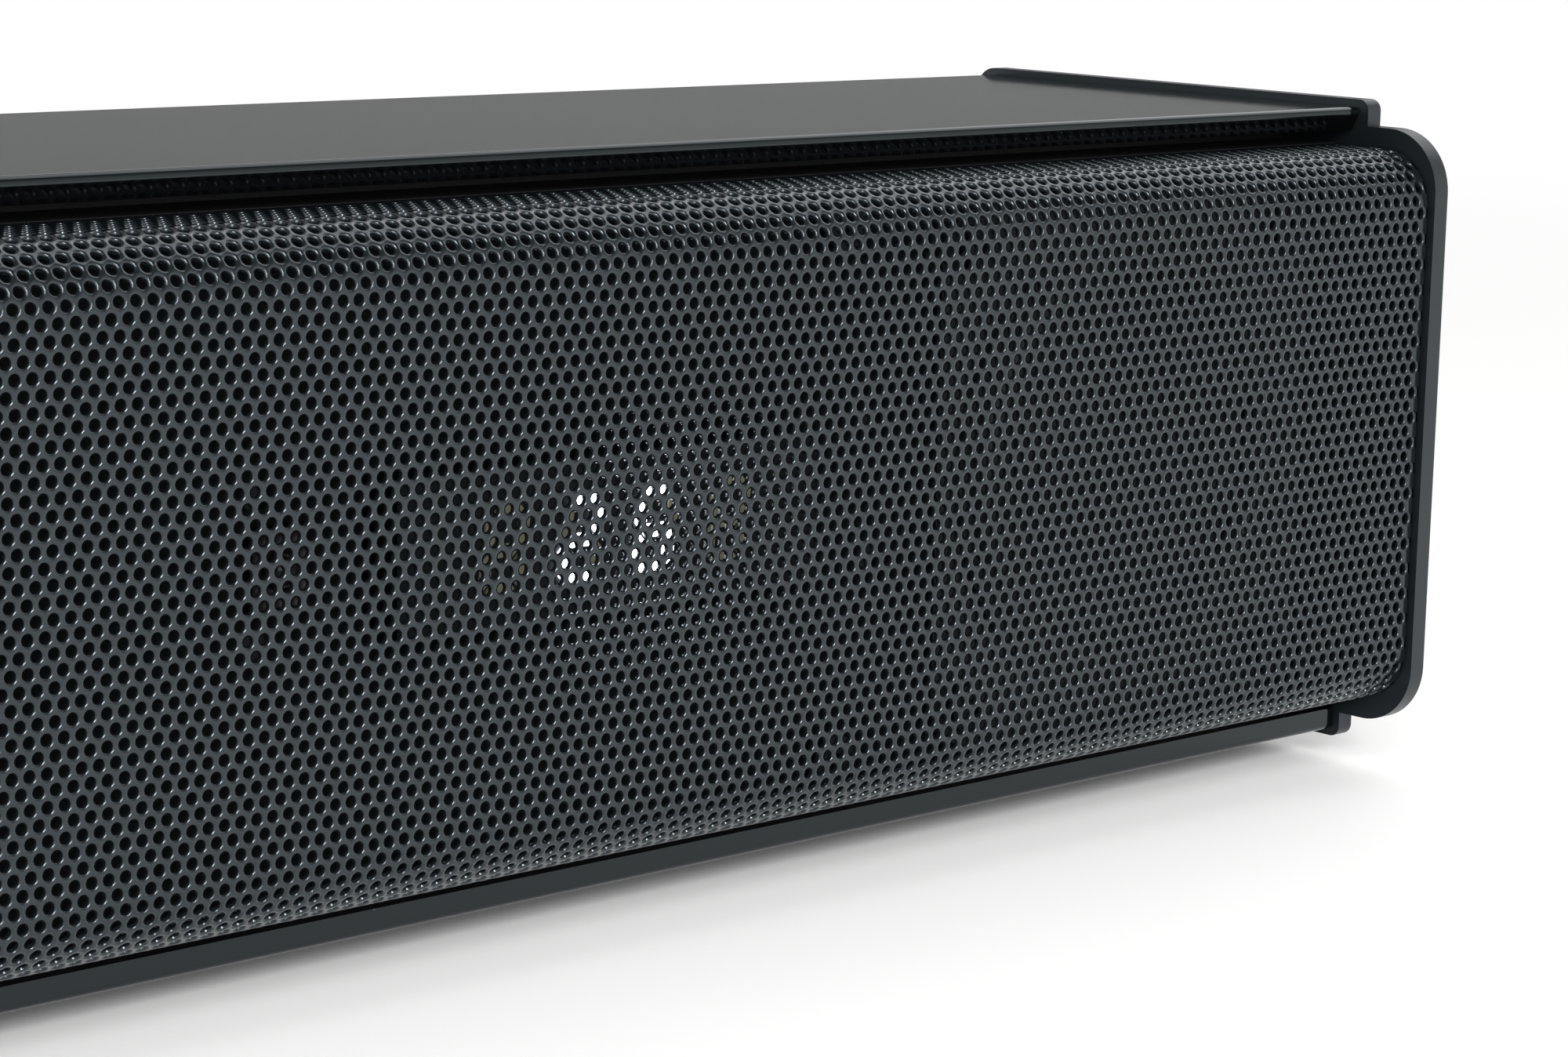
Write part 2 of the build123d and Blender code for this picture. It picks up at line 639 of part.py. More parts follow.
# Drivers
def basket(name, x):
    """Pressed frame: a square flange, a conical wall with four windows and a ring that carries the motor."""
    outer = basket_radius + BASKET_SHEET
    seat_outer = seat_radius + BASKET_SHEET
    lip_end = flange_rear + BASKET_LIP
    with BuildPart() as frame:
        with BuildSketch(axis_plane(x)):
            with BuildLine():
                Polyline(
                    (basket_radius, flange_front),
                    (outer, flange_front),
                    (outer, lip_end),
                    (seat_outer, seat_front),
                    (seat_outer, seat_rear),
                    (seat_bore, seat_rear),
                    (seat_bore, seat_front),
                    (seat_radius, seat_front),
                    (basket_radius, lip_end),
                    close=True,
                )
            make_face()
        revolve(axis=driver_axis(x))
        with BuildSketch(front_plane(flange_rear)):
            with Locations((x, middle)):
                RectangleRounded(flange_size, flange_size, FLANGE_CORNER)
                Circle(basket_radius, mode=Mode.SUBTRACT)
                with GridLocations(2 * flange_screw_offset, 2 * flange_screw_offset, 2, 2):
                    Circle(SCREW_RADIUS + SCREW_PASS, mode=Mode.SUBTRACT)
        extrude(amount=FLANGE_THICK)
        with BuildSketch(front_plane(seat_front - BASKET_WINDOW_MARGIN)):
            with Locations((x, middle)):
                Rectangle(3 * basket_radius, BASKET_WINDOW)
                Rectangle(BASKET_WINDOW, 3 * basket_radius)
        extrude(amount=seat_front - lip_end - 2 * BASKET_WINDOW_MARGIN, mode=Mode.SUBTRACT)
    export(frame.part, name)


def gasket(name, x):
    """Foam ring between the flange and the baffle."""
    with BuildPart() as ring:
        with BuildSketch(front_plane(baffle_front)):
            with Locations((x, middle)):
                RectangleRounded(flange_size, flange_size, FLANGE_CORNER)
                Circle(baffle_hole, mode=Mode.SUBTRACT)
                with GridLocations(2 * flange_screw_offset, 2 * flange_screw_offset, 2, 2):
                    Circle(SCREW_RADIUS + SCREW_PASS, mode=Mode.SUBTRACT)
        extrude(amount=GASKET_THICK)
    export(ring.part, name)


def turned(name, x, points):
    """A round piece turned about the driver's axis from a closed outline of (radius, Y) points."""
    with BuildPart() as piece:
        with BuildSketch(axis_plane(x)):
            with BuildLine():
                Polyline(*points, close=True)
            make_face()
        revolve(axis=driver_axis(x))
    export(piece.part, name)


def ring_points(inner, outer, front, rear):
    """Outline of a plain ring."""
    return [(inner, front), (outer, front), (outer, rear), (inner, rear)]


def surround(name, x):
    """Rubber half roll from the cone's edge to the flange."""
    land = flange_front - SURROUND_THICK
    inner = cone_radius + CONE_LAND
    middle_radius = inner + SURROUND_ROLL
    with BuildPart() as ring:
        with BuildSketch(axis_plane(x)):
            with BuildLine():
                Line((cone_radius + GLUE_GAP, flange_front), (inner, flange_front))
                ThreePointArc(
                    (inner, flange_front),
                    (middle_radius, flange_front - SURROUND_ROLL),
                    (basket_radius, flange_front),
                )
                Line((basket_radius, flange_front), (basket_radius + SURROUND_LAND, flange_front))
                Line((basket_radius + SURROUND_LAND, flange_front), (basket_radius + SURROUND_LAND, land))
                Line((basket_radius + SURROUND_LAND, land), (basket_radius + SURROUND_THICK, land))
                ThreePointArc(
                    (basket_radius + SURROUND_THICK, land),
                    (middle_radius, land - SURROUND_ROLL),
                    (inner - SURROUND_THICK, land),
                )
                Line((inner - SURROUND_THICK, land), (cone_radius + GLUE_GAP, land))
                Line((cone_radius + GLUE_GAP, land), (cone_radius + GLUE_GAP, flange_front))
            make_face()
        revolve(axis=driver_axis(x))
    export(ring.part, name)


def dust_cap(name, x):
    """Shallow dome glued over the voice coil."""
    slope = CONE_DEPTH / (cone_radius - coil_outer)
    edge = cone_neck - slope * (DUST_CAP_RADIUS - coil_outer) - GLUE_GAP
    inner = DUST_CAP_RADIUS - DUST_CAP_WALL
    with BuildPart() as dome:
        with BuildSketch(axis_plane(x)):
            with BuildLine():
                apex = edge - DUST_CAP_RISE
                Line((0, apex), (0, apex + DUST_CAP_WALL))
                TangentArc((0, apex + DUST_CAP_WALL), (inner, edge), tangent=(1, 0))
                Line((inner, edge), (DUST_CAP_RADIUS, edge))
                TangentArc((0, apex), (DUST_CAP_RADIUS, edge), tangent=(1, 0))
            make_face()
        revolve(axis=driver_axis(x))
    export(dome.part, name)


def spider_points():
    """Outline of the corrugated disc that centres the coil: a land on the seat, then waves inwards."""
    bore = coil_outer + GLUE_GAP
    rim = seat_radius - GLUE_GAP
    land = rim - SPIDER_LAND
    rear = []
    for i in range(SPIDER_STEPS + 1):
        share = i / SPIDER_STEPS
        wave = SPIDER_WAVE * (1 - cos(2 * pi * SPIDER_WAVES * share)) / 2
        rear.append((bore + (land - bore) * share, seat_front - wave))
    rear.append((rim, seat_front))
    return rear + [(radius, y - SPIDER_THICK) for radius, y in reversed(rear)]


for side_name, centre_x in DRIVERS:
    basket(f"{side_name}_driver_basket", centre_x)
    gasket(f"{side_name}_driver_gasket", centre_x)
    surround(f"{side_name}_cone_surround", centre_x)
    dust_cap(f"{side_name}_dust_cap", centre_x)
    turned(f"{side_name}_spider", centre_x, spider_points())
    turned(
        f"{side_name}_cone",
        centre_x,
        [
            (coil_outer + GLUE_GAP, cone_neck),
            (cone_radius, cone_front),
            (cone_radius + CONE_LAND, cone_front),
            (cone_radius + CONE_LAND, cone_front + CONE_THICK),
            (cone_radius, cone_front + CONE_THICK),
            (coil_outer + GLUE_GAP, cone_neck + CONE_THICK),
        ],
    )
    turned(f"{side_name}_voice_coil", centre_x, ring_points(COIL_RADIUS, coil_outer, coil_front, coil_rear))
    turned(
        f"{side_name}_driver_top_plate",
        centre_x,
        ring_points(plate_bore, motor_radius, motor_front, magnet_front),
    )
    turned(f"{side_name}_magnet", centre_x, ring_points(MAGNET_BORE, motor_radius, magnet_front, yoke_front))
    turned(
        f"{side_name}_yoke",
        centre_x,
        [
            (VENT_RADIUS, motor_front),
            (pole_radius, motor_front),
            (pole_radius, yoke_front),
            (motor_radius, yoke_front),
            (motor_radius, yoke_front + YOKE_THICK),
            (VENT_RADIUS, yoke_front + YOKE_THICK),
        ],
    )

# Display: the housing, its segments, the board behind it and the infrared receiver beside it
with BuildPart() as display_housing:
    with BuildSketch(front_plane(display_board_front)):
        with Locations((display_x, middle)):
            Rectangle(DISPLAY_WIDTH, DISPLAY_HEIGHT)
    extrude(amount=display_board_front - display_face)
export(display_housing.part, "display_housing")

LIT_SEGMENTS = {"2": "abged", "6": "afgedc"}
half_high = DIGIT_HEIGHT / 2 - SEGMENT_WIDTH / 2
half_wide = DIGIT_WIDTH / 2 - SEGMENT_WIDTH / 2
SEGMENT_ENDS = {
    "a": ((-half_wide, half_high), (half_wide, half_high)),
    "b": ((half_wide, 0), (half_wide, half_high)),
    "c": ((half_wide, -half_high), (half_wide, 0)),
    "d": ((-half_wide, -half_high), (half_wide, -half_high)),
    "e": ((-half_wide, -half_high), (-half_wide, 0)),
    "f": ((-half_wide, 0), (-half_wide, half_high)),
    "g": ((-half_wide, 0), (half_wide, 0)),
}


def segment_outline(centre_x, ends):
    """Pointed bar between two corners of a digit, leaning with the digit."""
    (x0, z0), (x1, z1) = ends
    length = max(abs(x1 - x0), abs(z1 - z0))
    along = ((x1 - x0) / length, (z1 - z0) / length)
    across = (-along[1], along[0])
    half = SEGMENT_WIDTH / 2
    steps = (
        (SEGMENT_GAP, 0),
        (SEGMENT_GAP + half, half),
        (length - SEGMENT_GAP - half, half),
        (length - SEGMENT_GAP, 0),
        (length - SEGMENT_GAP - half, -half),
        (SEGMENT_GAP + half, -half),
    )
    points = []
    for run, lift in steps:
        x = x0 + along[0] * run + across[0] * lift
        z = z0 + along[1] * run + across[1] * lift
        points.append((centre_x + x + z * tan(radians(DIGIT_SLANT)), middle + z))
    return points


def segment_group(name, lit):
    """All the segments of the four digits that are lit, or all that aren't."""
    with BuildPart() as segments:
        with BuildSketch(front_plane(display_face)):
            for place, shown in enumerate(SHOWN_DIGITS):
                centre_x = display_x + DIGIT_PITCH * (place - (len(SHOWN_DIGITS) - 1) / 2)
                for letter, ends in SEGMENT_ENDS.items():
                    if (letter in LIT_SEGMENTS.get(shown, "")) == lit:
                        with BuildLine():
                            Polyline(*segment_outline(centre_x, ends), close=True)
                        make_face()
        extrude(amount=SEGMENT_RAISE)
    export(segments.part, name)


segment_group("lit_segments", True)
segment_group("unlit_segments", False)

with BuildPart() as display_board:
    with BuildSketch(front_plane(display_board_rear)):
        with Locations((display_x, middle)):
            Rectangle(DISPLAY_BOARD_WIDTH, DISPLAY_BOARD_HEIGHT)
        with Locations(*display_screw_spots):
            Circle(SCREW_RADIUS + SCREW_PASS, mode=Mode.SUBTRACT)
    extrude(amount=BOARD_THICK)
export(display_board.part, "display_board")

with BuildPart() as ir_receiver:
    with BuildSketch(front_plane(display_board_front)):
        with Locations((display_x - IR_OFFSET, middle)):
            Rectangle(IR_WIDTH, IR_HEIGHT)
    extrude(amount=IR_BODY)
    with Locations((display_x - IR_OFFSET, display_board_front - IR_BODY, middle)):
        Sphere(IR_LENS_RADIUS)
export(ir_receiver.part, "infrared_receiver")

# Main board and what stands on it
with BuildPart() as main_board:
    with BuildSketch(Plane.XY.offset(board_under)):
        with Locations((0, (board_front + board_rear) / 2)):
            Rectangle(MAIN_BOARD_WIDTH, MAIN_BOARD_DEPTH)
        with Locations(*main_screw_spots):
            Circle(SCREW_RADIUS + SCREW_PASS, mode=Mode.SUBTRACT)
    extrude(amount=BOARD_THICK)
export(main_board.part, "main_board")

chip_y = board_front + CHIP_FROM_FRONT
with BuildPart() as amplifier_chip:
    with BuildSketch(Plane.XY.offset(board_top)):
        with Locations((chip_x, chip_y)):
            Rectangle(CHIP_SIZE, CHIP_SIZE)
    extrude(amount=CHIP_HEIGHT)
export(amplifier_chip.part, "amplifier_chip")

with BuildPart() as heat_sink:
    with BuildSketch(Plane.XY.offset(board_top + CHIP_HEIGHT)):
        with Locations((chip_x, chip_y)):
            Rectangle(SINK_WIDTH, SINK_DEPTH)
    extrude(amount=SINK_BASE)
    with BuildSketch(Plane.XY.offset(board_top + CHIP_HEIGHT + SINK_BASE)):
        with Locations((chip_x, chip_y)):
            with GridLocations((SINK_WIDTH - SINK_FIN) / (SINK_FIN_COUNT - 1), 1, SINK_FIN_COUNT, 1):
                Rectangle(SINK_FIN, SINK_DEPTH)
    extrude(amount=SINK_HEIGHT - SINK_BASE)
export(heat_sink.part, "heat_sink")

with BuildPart() as capacitors:
    with BuildSketch(Plane.XY.offset(board_top)):
        with Locations((cap_x, board_front + CAP_FROM_FRONT)):
            with GridLocations(CAP_PITCH, 1, 2, 1):
                Circle(CAP_RADIUS)
    extrude(amount=CAP_HEIGHT)
    fillet(capacitors.edges().group_by(Axis.Z)[-1], CAP_ROUND)
export(capacitors.part, "capacitors")

with BuildPart() as wireless_module:
    with BuildSketch(Plane.XY.offset(board_top)):
        with Locations((radio_x, board_front + RADIO_FROM_FRONT)):
            Rectangle(RADIO_WIDTH, RADIO_DEPTH)
    extrude(amount=RADIO_HEIGHT)
    fillet(wireless_module.edges().filter_by(Axis.Z), RADIO_ROUND)
export(wireless_module.part, "wireless_module")

# Rear port tray: a shallow box sunk into the back wall, with a hole in its floor for each socket
SOCKETS = (
    (POWER_JACK, power_jack_x),
    (AUX_JACK, aux_jack_x),
    (USB_SOCKET, USB_SOCKET_X),
    (HDMI_SOCKET, HDMI_SOCKET_X),
)
with BuildPart() as port_tray:
    with BuildSketch(front_plane(cabinet_rear)):
        with Locations((0, tray_middle)):
            Rectangle(TRAY_WIDTH + 2 * TRAY_WALL, TRAY_HEIGHT + 2 * TRAY_WALL)
    extrude(amount=TRAY_DEPTH + TRAY_WALL)
    with BuildSketch(front_plane(cabinet_rear)):
        with Locations((0, tray_middle)):
            RectangleRounded(
                TRAY_WIDTH + 2 * (TRAY_WALL + TRAY_FLANGE_SIDE),
                TRAY_HEIGHT + 2 * (TRAY_WALL + TRAY_FLANGE_TOP),
                TRAY_FLANGE_TOP,
            )
        with Locations((-tray_screw_x, tray_middle), (tray_screw_x, tray_middle)):
            Circle(SCREW_RADIUS + SCREW_PASS, mode=Mode.SUBTRACT)
    extrude(amount=-TRAY_FLANGE)
    with BuildSketch(front_plane(cabinet_rear + TRAY_FLANGE)):
        with Locations((0, tray_middle)):
            Rectangle(TRAY_WIDTH, TRAY_HEIGHT)
    extrude(amount=TRAY_FLANGE + TRAY_DEPTH, mode=Mode.SUBTRACT)
    with BuildSketch(front_plane(tray_floor)):
        for (width, _, height), x in SOCKETS:
            with Locations((x, board_top + height / 2)):
                Rectangle(width + 2 * SOCKET_FIT, height + 2 * SOCKET_FIT)
    extrude(amount=TRAY_WALL, mode=Mode.SUBTRACT)
export(port_tray.part, "port_tray")


def round_socket(name, size, x, bore, bore_depth, pin=None, pin_length=0.0):
    """Socket on the main board with a round bore, and a contact pin in it where one is given."""
    width, depth, height = size
    centre = (x, board_top + height / 2)
    with BuildPart() as socket:
        with BuildSketch(front_plane(tray_floor)):
            with Locations(centre):
                Rectangle(width, height)
        extrude(amount=depth)
        with BuildSketch(front_plane(tray_floor)):
            with Locations(centre):
                Circle(bore)
        extrude(amount=bore_depth, mode=Mode.SUBTRACT)
        if pin:
            with BuildSketch(front_plane(tray_floor - bore_depth)):
                with Locations(centre):
                    Circle(pin)
            extrude(amount=-pin_length)
    export(socket.part, name)


def square_socket(name, size, x, mouth, tongue, lift):
    """Socket on the main board with a rectangular mouth and a contact tongue inside it."""
    width, depth, height = size
    centre = board_top + height / 2
    with BuildPart() as socket:
        with BuildSketch(front_plane(tray_floor)):
            with Locations((x, centre)):
                Rectangle(width, height)
        extrude(amount=depth)
        with BuildSketch(front_plane(tray_floor)):
            with Locations((x, centre)):
                Rectangle(mouth[0], mouth[2])
        extrude(amount=mouth[1], mode=Mode.SUBTRACT)
        with BuildSketch(front_plane(tray_floor - mouth[1])):
            with Locations((x, centre + lift)):
                Rectangle(tongue[0], tongue[2])
        extrude(amount=-tongue[1])
    export(socket.part, name)


round_socket(
    "power_jack",
    POWER_JACK,
    power_jack_x,
    POWER_JACK_BORE,
    POWER_JACK_BORE_DEPTH,
    POWER_JACK_PIN,
    POWER_JACK_BORE_DEPTH - POWER_JACK_PIN_SHORT,
)
round_socket("audio_jack", AUX_JACK, aux_jack_x, AUX_JACK_BORE, AUX_JACK_BORE_DEPTH)
square_socket("usb_socket", USB_SOCKET, USB_SOCKET_X, USB_MOUTH, USB_TONGUE, USB_TONGUE_LIFT)
square_socket("hdmi_socket", HDMI_SOCKET, HDMI_SOCKET_X, HDMI_MOUTH, HDMI_TONGUE, HDMI_TONGUE_LIFT)

# Buttons: a chamfered cap through the plate, a flange behind it and a stem towards its switch
for button_name, height in zip(BUTTON_NAMES, button_heights):
    with BuildPart() as button:
        with BuildSketch(side_plane(button_flange_outer)):
            with Locations((BUTTON_Y, height)):
                Circle(button_radius)
        extrude(amount=half_length - BUTTON_SINK - button_flange_outer)
        with BuildSketch(side_plane(button_flange_outer)):
            with Locations((BUTTON_Y, height)):
                Circle(button_flange_radius)
        extrude(amount=-BUTTON_FLANGE_THICK)
        with BuildSketch(side_plane(button_stem_end)):
            with Locations((BUTTON_Y, height)):
                Circle(BUTTON_STEM)
        extrude(amount=BUTTON_STEM_LENGTH)
        chamfer(button.edges().group_by(Axis.X)[-1], BUTTON_CHAMFER)
    export(button.part, button_name)

with BuildPart() as button_board:
    with BuildSketch(side_plane(button_board_inner)):
        with Locations((BUTTON_Y, middle)):
            Rectangle(BUTTON_BOARD_WIDTH, button_board_height)
        with Locations(*button_screw_spots):
            Circle(SCREW_RADIUS + SCREW_PASS, mode=Mode.SUBTRACT)
    extrude(amount=BOARD_THICK)
export(button_board.part, "button_board")

with BuildPart() as button_switches:
    with BuildSketch(side_plane(button_board_outer)):
        with Locations(*[(BUTTON_Y, z) for z in button_heights]):
            Rectangle(SWITCH_SIZE, SWITCH_SIZE)
    extrude(amount=SWITCH_HEIGHT)
    with BuildSketch(side_plane(button_board_outer + SWITCH_HEIGHT)):
        with Locations(*[(BUTTON_Y, z) for z in button_heights]):
            Circle(PLUNGER_RADIUS)
    extrude(amount=PLUNGER_HEIGHT)
export(button_switches.part, "button_switches")

# Screws
base_seats = [
    (column * BASE_SCREW_SPACING, panel_middle + row * BASE_SCREW_ROW_SPACING / 2, base_face)
    for column in (-1, 0, 1)
    for row in (-1, 1)
]
driver_seats = [
    (x + across * flange_screw_offset, flange_front, middle + up * flange_screw_offset)
    for _, x in DRIVERS
    for across in (-1, 1)
    for up in (-1, 1)
]
screw_group("base_screws", base_seats, (0, 0, 1), BASE_SCREW_BITE)
screw_group(
    "baffle_screws",
    [(x, baffle_front, z) for x, z in baffle_screw_spots],
    (0, 1, 0),
    BAFFLE_SCREW_BITE,
)
screw_group(
    "driver_screws",
    driver_seats,
    (0, 1, 0),
    FLANGE_THICK + GASKET_THICK + BAFFLE_THICK - SCREW_TIP_GAP,
)
screw_group(
    "display_screws",
    [(x, display_board_rear, z) for x, z in display_screw_spots],
    (0, -1, 0),
    BOARD_THICK + BAFFLE_THICK - SCREW_TIP_GAP,
)
screw_group(
    "main_board_screws",
    [(x, y, board_top) for x, y in main_screw_spots],
    (0, 0, -1),
    BOARD_THICK + MAIN_BOARD_RISE - SCREW_TIP_GAP,
)
screw_group(
    "button_board_screws",
    [(button_board_inner, y, z) for y, z in button_screw_spots],
    (1, 0, 0),
    BOARD_THICK + inside_half - button_board_outer - SCREW_TIP_GAP,
)
screw_group(
    "port_tray_screws",
    [(side * tray_screw_x, cabinet_rear + TRAY_FLANGE, tray_middle) for side in (-1, 1)],
    (0, -1, 0),
    TRAY_SCREW_LENGTH,
)
for plate_name, side in (("left", -1), ("right", 1)):
    screw_group(
        f"{plate_name}_end_plate_screws",
        [(side * inside_half, y, z) for y, z in end_screw_spots],
        (side, 0, 0),
        end_screw_tip - inside_half,
        END_HEAD_RADIUS,
    )
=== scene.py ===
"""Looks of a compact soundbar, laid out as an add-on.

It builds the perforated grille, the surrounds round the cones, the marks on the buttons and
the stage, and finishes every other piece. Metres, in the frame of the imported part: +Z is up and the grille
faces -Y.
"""

from math import ceil, cos, floor, pi, radians, sin, sqrt

import bpy
import numpy as np
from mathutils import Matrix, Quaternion, Vector


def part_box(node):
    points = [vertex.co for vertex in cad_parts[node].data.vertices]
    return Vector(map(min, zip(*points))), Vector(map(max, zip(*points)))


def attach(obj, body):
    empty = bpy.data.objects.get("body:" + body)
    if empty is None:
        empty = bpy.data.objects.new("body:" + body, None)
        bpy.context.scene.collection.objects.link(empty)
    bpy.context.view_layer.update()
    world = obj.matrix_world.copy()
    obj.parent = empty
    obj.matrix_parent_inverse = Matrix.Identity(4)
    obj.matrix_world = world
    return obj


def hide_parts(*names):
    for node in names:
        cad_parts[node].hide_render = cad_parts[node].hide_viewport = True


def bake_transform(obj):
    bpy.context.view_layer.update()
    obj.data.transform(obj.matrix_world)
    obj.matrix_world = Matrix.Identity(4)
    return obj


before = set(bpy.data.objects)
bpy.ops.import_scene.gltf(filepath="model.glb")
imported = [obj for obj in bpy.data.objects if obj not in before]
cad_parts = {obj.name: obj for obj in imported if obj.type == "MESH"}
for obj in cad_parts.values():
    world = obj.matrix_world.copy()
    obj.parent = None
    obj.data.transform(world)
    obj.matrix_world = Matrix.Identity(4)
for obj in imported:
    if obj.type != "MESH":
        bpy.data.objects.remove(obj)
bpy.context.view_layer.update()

bl_info = {
    "name": "Soundbar looks",
    "version": (1, 0, 0),
    "blender": (4, 5, 0),
    "location": "View3D > Sidebar > Soundbar",
    "description": "Builds the grille, finishes and stage of a compact soundbar",
    "category": "Object",
}

MM = 0.001
WHITE = (1.0, 1.0, 1.0, 1.0)


def linear(code):
    """Linear RGBA of an sRGB hex colour."""
    parts = [int(code[i : i + 2], 16) / 255 for i in (1, 3, 5)]
    return (*[c / 12.92 if c <= 0.04045 else ((c + 0.055) / 1.055) ** 2.4 for c in parts], 1.0)


# Settings


class SOUNDBAR_PG_grille(bpy.types.PropertyGroup):
    """Sizes of the perforated sheet"""

    pitch: bpy.props.FloatProperty(
        name="Hole pitch",
        description="Distance between neighbouring holes of a row, fitted to the sheet's length",
        default=1.69 * MM,
        unit="LENGTH",
    )
    hole: bpy.props.FloatProperty(
        name="Hole width",
        description="Diameter of a hole inside its rounded rim",
        default=0.98 * MM,
        unit="LENGTH",
    )
    rim: bpy.props.FloatProperty(
        name="Rim",
        description="Width of the rounding that the punch and the paint leave round a hole",
        default=0.26 * MM,
        unit="LENGTH",
    )
    rim_depth: bpy.props.FloatProperty(
        name="Rim depth",
        description="How deep that rounding reaches into the hole",
        default=0.1 * MM,
        unit="LENGTH",
    )
    lip_tilt: bpy.props.FloatProperty(
        name="Lip tilt",
        description="How far that rounding leans at its outer edge",
        default=radians(15),
        unit="ROTATION",
    )
    mouth_tilt: bpy.props.FloatProperty(
        name="Mouth tilt",
        description="How far that rounding leans at its inner edge",
        default=radians(72),
        unit="ROTATION",
    )
    sheet: bpy.props.FloatProperty(
        name="Sheet",
        description="Thickness of the sheet",
        default=0.5 * MM,
        unit="LENGTH",
    )
    bend: bpy.props.FloatProperty(
        name="Bend",
        description="Outer radius of the bends along the top and the bottom",
        default=6.5 * MM,
        unit="LENGTH",
    )
    row_level: bpy.props.FloatProperty(
        name="Row level",
        description="Height of one row of holes on the flat front",
        default=45.41 * MM,
        unit="LENGTH",
    )
    end_margin: bpy.props.FloatProperty(
        name="End margin",
        description="From the sheet's ends to the first hole of the longer rows",
        default=1.04 * MM,
        unit="LENGTH",
    )
    rear_margin: bpy.props.FloatProperty(
        name="Rear margin",
        description="Plain strip along the rear edges of the flanges",
        default=1.6 * MM,
        unit="LENGTH",
    )
    sections: bpy.props.IntProperty(
        name="Sections",
        description="Number of lengths that the sheet is split into",
        default=10,
    )


class SOUNDBAR_PG_surround(bpy.types.PropertyGroup):
    """Sizes of the rubber rings round the cones"""

    rubber: bpy.props.FloatProperty(
        name="Rubber",
        description="Thickness of the rubber",
        default=0.5 * MM,
        unit="LENGTH",
    )
    glued: bpy.props.FloatProperty(
        name="Glued edge",
        description="Width of the flat edge on the cone",
        default=1.1 * MM,
        unit="LENGTH",
    )
    land: bpy.props.FloatProperty(
        name="Land",
        description="Width of the flat edge on the driver's flange",
        default=2.2 * MM,
        unit="LENGTH",
    )
    sectors: bpy.props.IntProperty(
        name="Sectors",
        description="Number of lengths that a ring is split into, each of which bends towards its cone",
        default=12,
    )


class SOUNDBAR_PG_colours(bpy.types.PropertyGroup):
    """Colours of the outer finishes"""

    grille: bpy.props.FloatVectorProperty(
        name="Grille paint",
        description="Charcoal paint of the perforated sheet",
        default=linear("#0d1113"),
        size=4,
        subtype="COLOR",
    )
    panel: bpy.props.FloatVectorProperty(
        name="Gloss panels",
        description="Polished plastic of the top and base panels",
        default=linear("#030404"),
        size=4,
        subtype="COLOR",
    )
    plate: bpy.props.FloatVectorProperty(
        name="End plates",
        description="Satin plastic of the end plates",
        default=linear("#121618"),
        size=4,
        subtype="COLOR",
    )
    cabinet: bpy.props.FloatVectorProperty(
        name="Cabinet",
        description="Textured plastic of the cabinet and the port tray",
        default=linear("#0e0f10"),
        size=4,
        subtype="COLOR",
    )
    gloss: bpy.props.FloatVectorProperty(
        name="Gloss",
        description="Tint of what the outer finishes mirror, which leans to blue",
        default=linear("#e9f7ff"),
        size=4,
        subtype="COLOR",
    )
    lit: bpy.props.FloatVectorProperty(
        name="Lit segments",
        description="Light of the segments that are on",
        default=linear("#eef4ff"),
        size=4,
        subtype="COLOR",
    )
    unlit: bpy.props.FloatVectorProperty(
        name="Unlit segments",
        description="Epoxy of the segments that are off",
        default=linear("#8f8d72"),
        size=4,
        subtype="COLOR",
    )


class SOUNDBAR_PG_stage(bpy.types.PropertyGroup):
    """Camera, lamps and floor"""

    place: bpy.props.FloatVectorProperty(
        name="Camera place",
        description="Where the camera stands",
        default=(-0.07247, -0.31020, 0.10800),
        subtype="XYZ",
        unit="LENGTH",
    )
    aim: bpy.props.FloatVectorProperty(
        name="Camera aim",
        description="Point in the middle of the picture",
        default=(0.17500, -0.03620, 0.04000),
        subtype="XYZ",
        unit="LENGTH",
    )
    roll: bpy.props.FloatProperty(
        name="Camera roll",
        description="Turn of the camera about its line of sight",
        default=radians(1.21),
        unit="ROTATION",
    )
    lens: bpy.props.FloatProperty(
        name="Lens",
        description="Focal length on a sensor 36 mm wide",
        default=88.08,
        unit="CAMERA",
    )
    world: bpy.props.FloatProperty(
        name="Tent level",
        description="Brightness of the white tent overhead",
        default=0.2,
    )
    horizon: bpy.props.FloatProperty(
        name="Horizon level",
        description="Brightness of the tent near the table, where it is plain white",
        default=1.0,
    )
    front_place: bpy.props.FloatVectorProperty(
        name="Front softbox place",
        description="Middle of the softbox in front of the bar, above its left end",
        default=(-0.58, -1.68, 0.92),
        subtype="XYZ",
        unit="LENGTH",
    )
    front_width: bpy.props.FloatProperty(
        name="Front softbox width",
        description="Side of that square softbox",
        default=1.6,
        unit="LENGTH",
    )
    front_lamp: bpy.props.FloatProperty(
        name="Front softbox power",
        description="Power of that softbox",
        default=46.0,
        unit="POWER",
    )
    core_place: bpy.props.FloatVectorProperty(
        name="Core place",
        description="Middle of that softbox's brighter core, just before its cloth",
        default=(-0.54, -1.58, 0.86),
        subtype="XYZ",
        unit="LENGTH",
    )
    core_width: bpy.props.FloatProperty(
        name="Core width",
        description="Side of the square core",
        default=0.4,
        unit="LENGTH",
    )
    core_lamp: bpy.props.FloatProperty(
        name="Core power",
        description="Power of the core",
        default=15.0,
        unit="POWER",
    )
    side_place: bpy.props.FloatVectorProperty(
        name="Side softbox place",
        description="Middle of the softbox above the bar's right end",
        default=(1.6, 0.3, 1.7),
        subtype="XYZ",
        unit="LENGTH",
    )
    side_width: bpy.props.FloatProperty(
        name="Side softbox width",
        description="Side of that square softbox",
        default=1.8,
        unit="LENGTH",
    )
    side_lamp: bpy.props.FloatProperty(
        name="Side softbox power",
        description="Power of that softbox",
        default=15.0,
        unit="POWER",
    )


# Helpers


